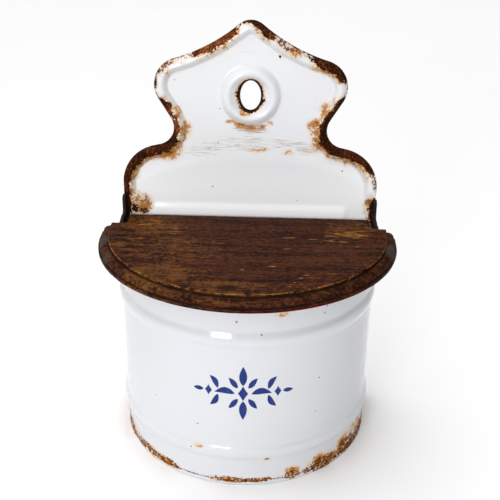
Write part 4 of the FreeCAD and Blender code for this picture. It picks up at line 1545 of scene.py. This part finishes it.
    def build(self, finish: Material) -> Piece:
        """Builds the lid with the values that its finish reads.

        Args:
            finish: The worn wood.

        Returns:
            The lid.
        """
        skin = Skin()
        rows = [self.bruised(self.ring(*place), place[0]) for place in self.profile()]
        numbers = skin.loft(rows, True)
        for end, pitch, order in ((0, self.under_pitch, -1), (-1, self.top_pitch, 1)):
            edge = rows[end][:, :2]
            spread = scattered(edge, self.grid_low, self.grid_high, pitch, self.edge_clear)
            inner = skin.add(level(spread, rows[end][0, 2]))
            skin.fill(np.concatenate([numbers[end], inner]), filled(edge, spread)[:, ::order])
        return skin.made("moulded_lid", finish, self.values(skin.places()))

    def values(self, places: np.ndarray) -> dict[Field, np.ndarray]:
        """Rubbed wood, old paint, bleached and tan wood, and grime with painted shade in the moulding's
        creases and towards its right.

        Args:
            places: The points.

        Returns:
            Values at them.
        """
        x, y, z = places.T
        top, step = self.low + self.thickness, self.step()
        reach = self.radius - np.hypot(x, y - np.clip(y, self.plan.axis, self.notch))
        raised = eased(z - top, *self.raised_from)
        edge = 1 - raised
        worn = np.maximum(worn_by(self.ochres, x, y), worn_by(self.scratches, x, y))
        worn = np.maximum(worn, fading(np.abs(reach - step - self.nose_middle), *self.nose_rub))
        up = z - self.low
        paint = worn_by(self.paints, x, y) * fading(up, self.paint_from, self.fillet + self.paint_past)
        # Painted shadow: dark lines in the crease under the raised middle and at the top of the lower fillet.
        fold = fading(np.abs(z - top + self.fold_drop) + np.abs(reach - step) / 2, *self.fold_shade)
        quirk = fading(np.abs(up - self.fillet - self.quirk_rise), *self.quirk_shade)
        # Dust along the moulding, with painted shade that darkens it towards the right.
        dust_and_shade = self.edge_dust_and_shade[0] + self.edge_dust_and_shade[1] * eased(x, *self.rightward_shade_span)
        dust_and_shade = np.maximum(np.maximum(fold, quirk), dust_and_shade)
        return {
            Field.WORN: np.maximum(worn * raised, self.least_worn),
            Field.PAINT: paint * fading(reach, *self.paint_depth),
            Field.BLEACH: worn_by(self.bleaches, x, y) * edge,
            Field.TAN: np.maximum(worn_by(self.tans, x, y), self.edge_tan * edge),
            Field.GRIME_AND_SHADE: np.maximum(worn_by(self.grimes, x, y) * raised, dust_and_shade * edge),
        }


@dataclass
class Ornament:
    """A generic stencilled spray of leaves and lozenges on the front of the bin."""

    plan: RoundFront = RoundFront()
    radius: float = 79.2
    middle_turn: float = 0.8
    height: float = 67.0
    breadth: float = 0.88
    tallness: float = 1.12
    proud: float = 0.06
    depth: float = 0.16
    pitch: float = 0.7
    edge_clear: float = 0.25
    leaf_points: int = 24
    leaf_belly: float = 0.85
    leaf_point: float = 0.9
    lozenge_points: int = 48
    hollow: float = 2.2

    # A lozenge has half its width and half its height, a ray its turn, length and width,
    # and a leaf its length, width and bend. Those at the sides end with where they are.
    middle_lozenge: Pair = (3.4, 4.6)
    ray_start: float = 4.8
    rays: tuple[Triple, ...] = ((90, 11.5, 5.2), (270, 11.5, 5.2), (45, 8.5, 3.4), (135, 8.5, 3.4),
                                (225, 8.5, 3.4), (315, 8.5, 3.4))
    side_leaves: tuple[tuple[float, ...], ...] = (
        (13.5, 3.8, 1.6, 5.5, 0.0, 0.0), (9.0, 3.6, 1.0, 16.5, 2.6, 52.0),
        (9.0, 3.6, -1.0, 16.5, -1.2, -52.0), (7.0, 2.6, 0.0, 26.5, 0.7, 0.0),
    )
    side_lozenge: tuple[float, ...] = (2.4, 3.2, 23.0, 0.7, 0.0)

    def leaf(self, length: float, width: float, bend: float) -> np.ndarray:
        """A pointed leaf from the origin along +x.

        Args:
            length: Its length.
            width: Its greatest width.
            bend: How far its middle lies to the left.

        Returns:
            A closed outline that turns left.
        """
        share = np.linspace(0, 1, self.leaf_points)
        spine = bend * np.sin(math.pi * share)
        half = width / 2 * np.sin(math.pi * share ** self.leaf_belly) ** self.leaf_point
        upper = np.stack([share * length, spine + half], 1)
        lower = np.stack([share * length, spine - half], 1)
        return np.concatenate([lower[1:], upper[-2::-1]])

    def lozenge(self, half_width: float, half_height: float) -> np.ndarray:
        """A lozenge with hollow sides, as a closed outline that turns left."""
        sides = circle(self.lozenge_points)
        return (half_width, half_height) * np.sign(sides) * np.abs(sides) ** self.hollow

    @staticmethod
    def placed(shape: np.ndarray, across: float, up: float, turn: float, flip: bool = False) -> np.ndarray:
        """A shape turned and moved, or its mirror image.

        Args:
            shape: Its outline.
            across: Where its origin goes across.
            up: Where its origin goes up.
            turn: Its turn in degrees.
            flip: Whether the mirror image is wanted.

        Returns:
            The new outline.
        """
        angle = math.radians(turn)
        spin = np.array([[math.cos(angle), -math.sin(angle)], [math.sin(angle), math.cos(angle)]])
        moved = shape @ spin.T + (across, up)
        return moved[::-1] * (-1, 1) if flip else moved

    def shapes(self) -> list[np.ndarray]:
        """All stencil openings, in millimetres about the middle of the ornament.

        Returns:
            Closed outlines that turn left.
        """
        made = [self.lozenge(*self.middle_lozenge)]
        for turn, length, width in self.rays:
            start = facing(np.radians([turn]))[0] * self.ray_start
            made.append(self.placed(self.leaf(length, width, 0.0), *start, turn))
        for flip in (False, True):
            made += [self.placed(self.leaf(*row[:3]), *row[3:], flip) for row in self.side_leaves]
            made.append(self.placed(self.lozenge(*self.side_lozenge[:2]), *self.side_lozenge[2:], flip))
        return [shape * (self.breadth, self.tallness) for shape in made]

    def wrapped(self, flat: np.ndarray, lift: float) -> np.ndarray:
        """Carries flat places round the wall's front.

        Args:
            flat: Places across and up the ornament.
            lift: How far they stand off the wall.

        Returns:
            Points on the wall.
        """
        turn = flat[:, 0] / self.radius + math.radians(self.middle_turn)
        reach = self.radius + lift
        y = self.plan.axis - reach * np.cos(turn)
        return np.stack([reach * np.sin(turn), y, self.height + flat[:, 1]], 1)

    def build(self, finish: Material) -> Piece:
        """Lays each shape on the wall as a thin raised film.

        Args:
            finish: The stencil paint.

        Returns:
            The ornament.
        """
        skin = Skin()
        for edge in self.shapes():
            spread = scattered(edge, edge.min(0), edge.max(0), self.pitch, self.edge_clear)
            flat = np.concatenate([edge, spread])
            outer = skin.add(self.wrapped(flat, self.proud))
            inner = skin.add(self.wrapped(flat, self.proud - self.depth))
            triangles = filled(edge, spread)
            skin.fill(outer, triangles)
            skin.fill(inner, triangles[:, ::-1])
            skin.strip(inner[:len(edge)], outer[:len(edge)], True)
        return skin.made("stencil_ornament", finish, {})


@dataclass
class Ironwork:
    """The lugs, rivets and nails, which keep their solid shapes."""

    lugs: tuple[str, ...] = ("left_hinge_lug", "right_hinge_lug", "lug_rivets")
    nails: tuple[str, ...] = ("left_pivot_nail", "right_pivot_nail")

    def dress(self, iron: Material, steel: Material) -> None:
        """Gives each piece its finish.

        Args:
            iron: Finish of the lugs and the rivets.
            steel: Finish of the nails.
        """
        for names, finish, slot in ((self.lugs, iron, Slot.LUG_IRON), (self.nails, steel, Slot.NAIL_STEEL)):
            for name in names:
                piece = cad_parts[name]
                piece.data.materials.clear()
                piece.data.materials.append(finish)
                log.info("dressed %s", name)


@dataclass(frozen=True)
class Panel:
    """A soft square light: where it hangs, what it faces, its side and its power."""

    name: str
    place: Triple
    aim: Triple
    size: float
    power: float

    def build(self) -> None:
        """Hangs the light."""
        data = bpy.data.lights.new(self.name, "AREA")
        data.shape = "SQUARE"
        data.size = self.size
        data.energy = self.power
        lamp = bpy.data.objects.new(self.name, data)
        lamp.location = self.place
        lamp.rotation_euler = (Vector(self.aim) - Vector(self.place)).to_track_quat("-Z", "Y").to_euler()
        bpy.context.scene.collection.objects.link(lamp)


@dataclass
class Studio:
    """Floor, lights, sky and camera."""

    floor_size: float = 12.0
    floor_drop: float = 0.05
    eye: Triple = (0.01721, -0.44882, 0.35058)
    elevation: float = 25.41
    yaw: float = 1.86
    roll: float = -0.7
    lens: float = 61.2
    sensor: float = 36.0
    horizon: float = 0.40
    zenith: float = 1.62
    zenith_span: Pair = (0.1, 0.85)
    window: float = 0.48
    window_span: Pair = (0.35, 1.0)
    right_shade: float = 0.9
    right_span: Pair = (0.0, 0.75)
    left_shade: float = 0.45
    left_span: Pair = (0.35, 1.0)
    backdrop: float = 0.93
    panels: tuple[Panel, ...] = (
        Panel("key_panel", (-0.37, -1.10, 0.32), (0.0, 0.0, 0.12), 0.32, 4.2),
        Panel("top_panel", (-0.35, -0.1, 1.2), (0.0, 0.0, 0.1), 0.9, 0.8),
    )

    def build(self, finish: Material) -> None:
        """Builds the whole studio.

        Args:
            finish: The floor's finish.
        """
        self.build_floor(finish)
        self.build_sky()
        for panel in self.panels:
            panel.build()
        self.build_camera()

    def build_floor(self, finish: Material) -> None:
        """Lays the floor under the part.

        Args:
            finish: The floor's finish.
        """
        skin = Skin()
        half = self.floor_size / 2 / MM
        corners = np.array([(-half, -half), (half, -half), (half, half), (-half, half)])
        skin.faces.append(tuple(skin.add(level(corners, -self.floor_drop))))
        skin.made("studio_floor", finish, {})

    def build_sky(self) -> None:
        """Sets a sky that lights from overhead and looks plain and pale itself, and plain picture tones."""
        world = bpy.data.worlds.new("studio_sky")
        bpy.context.scene.world = world
        shop = Shop(world)
        toward = shop.node("ShaderNodeTexCoord", {}, {}, "Generated")
        x, y, z = (shop.node("ShaderNodeSeparateXYZ", {}, {0: toward}, axis) for axis in "XYZ")
        glow = self.horizon + (self.zenith - self.horizon) * z.step(*self.zenith_span)
        glow = glow + (y * -1).step(*self.window_span) * self.window
        glow = glow * (1 - x.step(*self.right_span) * self.right_shade)
        glow = glow * (1 - (x * -1).step(*self.left_span) * self.left_shade)
        seen = shop.node("ShaderNodeLightPath", {}, {}, "Is Camera Ray")
        glow = glow + (self.backdrop - glow) * seen
        light = shop.node("ShaderNodeBackground", {}, {"Color": (1.0, 1.0, 1.0), "Strength": glow})
        shop.end("ShaderNodeOutputWorld", light)
        bpy.context.scene.view_settings.view_transform = "Standard"

    def build_camera(self) -> None:
        """Sets the camera where the photograph was taken from."""
        elevation, yaw, roll = (math.radians(a) for a in (self.elevation, self.yaw, self.roll))
        ahead = Vector((-math.sin(yaw), math.cos(yaw), 0)) * math.cos(elevation)
        forward = ahead - Vector((0, 0, math.sin(elevation)))
        right = Vector((math.cos(yaw), math.sin(yaw), 0))
        down = forward.cross(right)
        tilted_right = right * math.cos(roll) + down * math.sin(roll)
        tilted_down = down * math.cos(roll) - right * math.sin(roll)
        data = bpy.data.cameras.new("photo_camera")
        data.lens = self.lens
        data.sensor_width = self.sensor
        camera = bpy.data.objects.new("photo_camera", data)
        axes = Matrix((tilted_right, -tilted_down, -forward)).transposed()
        camera.matrix_world = Matrix.Translation(self.eye) @ axes.to_4x4()
        bpy.context.scene.collection.objects.link(camera)
        bpy.context.scene.camera = camera


def fitted(piece: Piece, body: Body, slot: Slot, *nodes: str) -> None:
    """Lets a piece ride on its body in place of its solids.

    Args:
        piece: The dressed piece.
        body: The body that carries it.
        slot: The record's finish; not used.
        nodes: The solids that it stands for.
    """
    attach(piece, body.value)
    if nodes:
        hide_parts(*nodes)
    log.info("made %s: %d points, rides on %s", piece.name, len(piece.data.vertices), body.value)


def main() -> None:
    """Builds the pieces in order."""
    logging.basicConfig(level=logging.INFO, format="%(name)s: %(message)s")
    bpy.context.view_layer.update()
    crest_enamel = Enamel("crest_enamel").material()
    # Painted shade: the bin and base take a darker white and cream than the plate's, though the enamel is the
    # same; their rust colours differ for real.
    foot_enamel = Enamel(
        "foot_enamel", white=(0.625, 0.635, 0.665), cream=(0.61, 0.615, 0.63), rust=(0.27, 0.085, 0.012),
        ruddy=(0.42, 0.15, 0.02), scale_black=(0.07, 0.022, 0.006), stain=(0.50, 0.19, 0.012),
        mottle=0.6, speckle=0.7, filament=0.55,
    ).material()
    bin_parts = Bin()
    fitted(BackPlate().build(crest_enamel), Body.BOX, Slot.ENAMEL, "back_plate")
    fitted(bin_parts.build_wall(foot_enamel), Body.BOX, Slot.ENAMEL, "front_wall")
    fitted(bin_parts.build_base(foot_enamel), Body.BOX, Slot.ENAMEL, "base_pan")
    fitted(Ornament().build(StencilBlue("stencil_blue").material()), Body.BOX, Slot.ENAMEL)
    fitted(Lid().build(WornWood("worn_lid_wood").material()), Body.LID, Slot.LID_WOOD, "lid_board")
    Ironwork().dress(RustedIron("rusted_lug_iron").material(), NailSteel("old_nail_steel").material())
    Studio().build(PaleFloor("pale_floor").material())


if __name__ == "__main__":
    main()
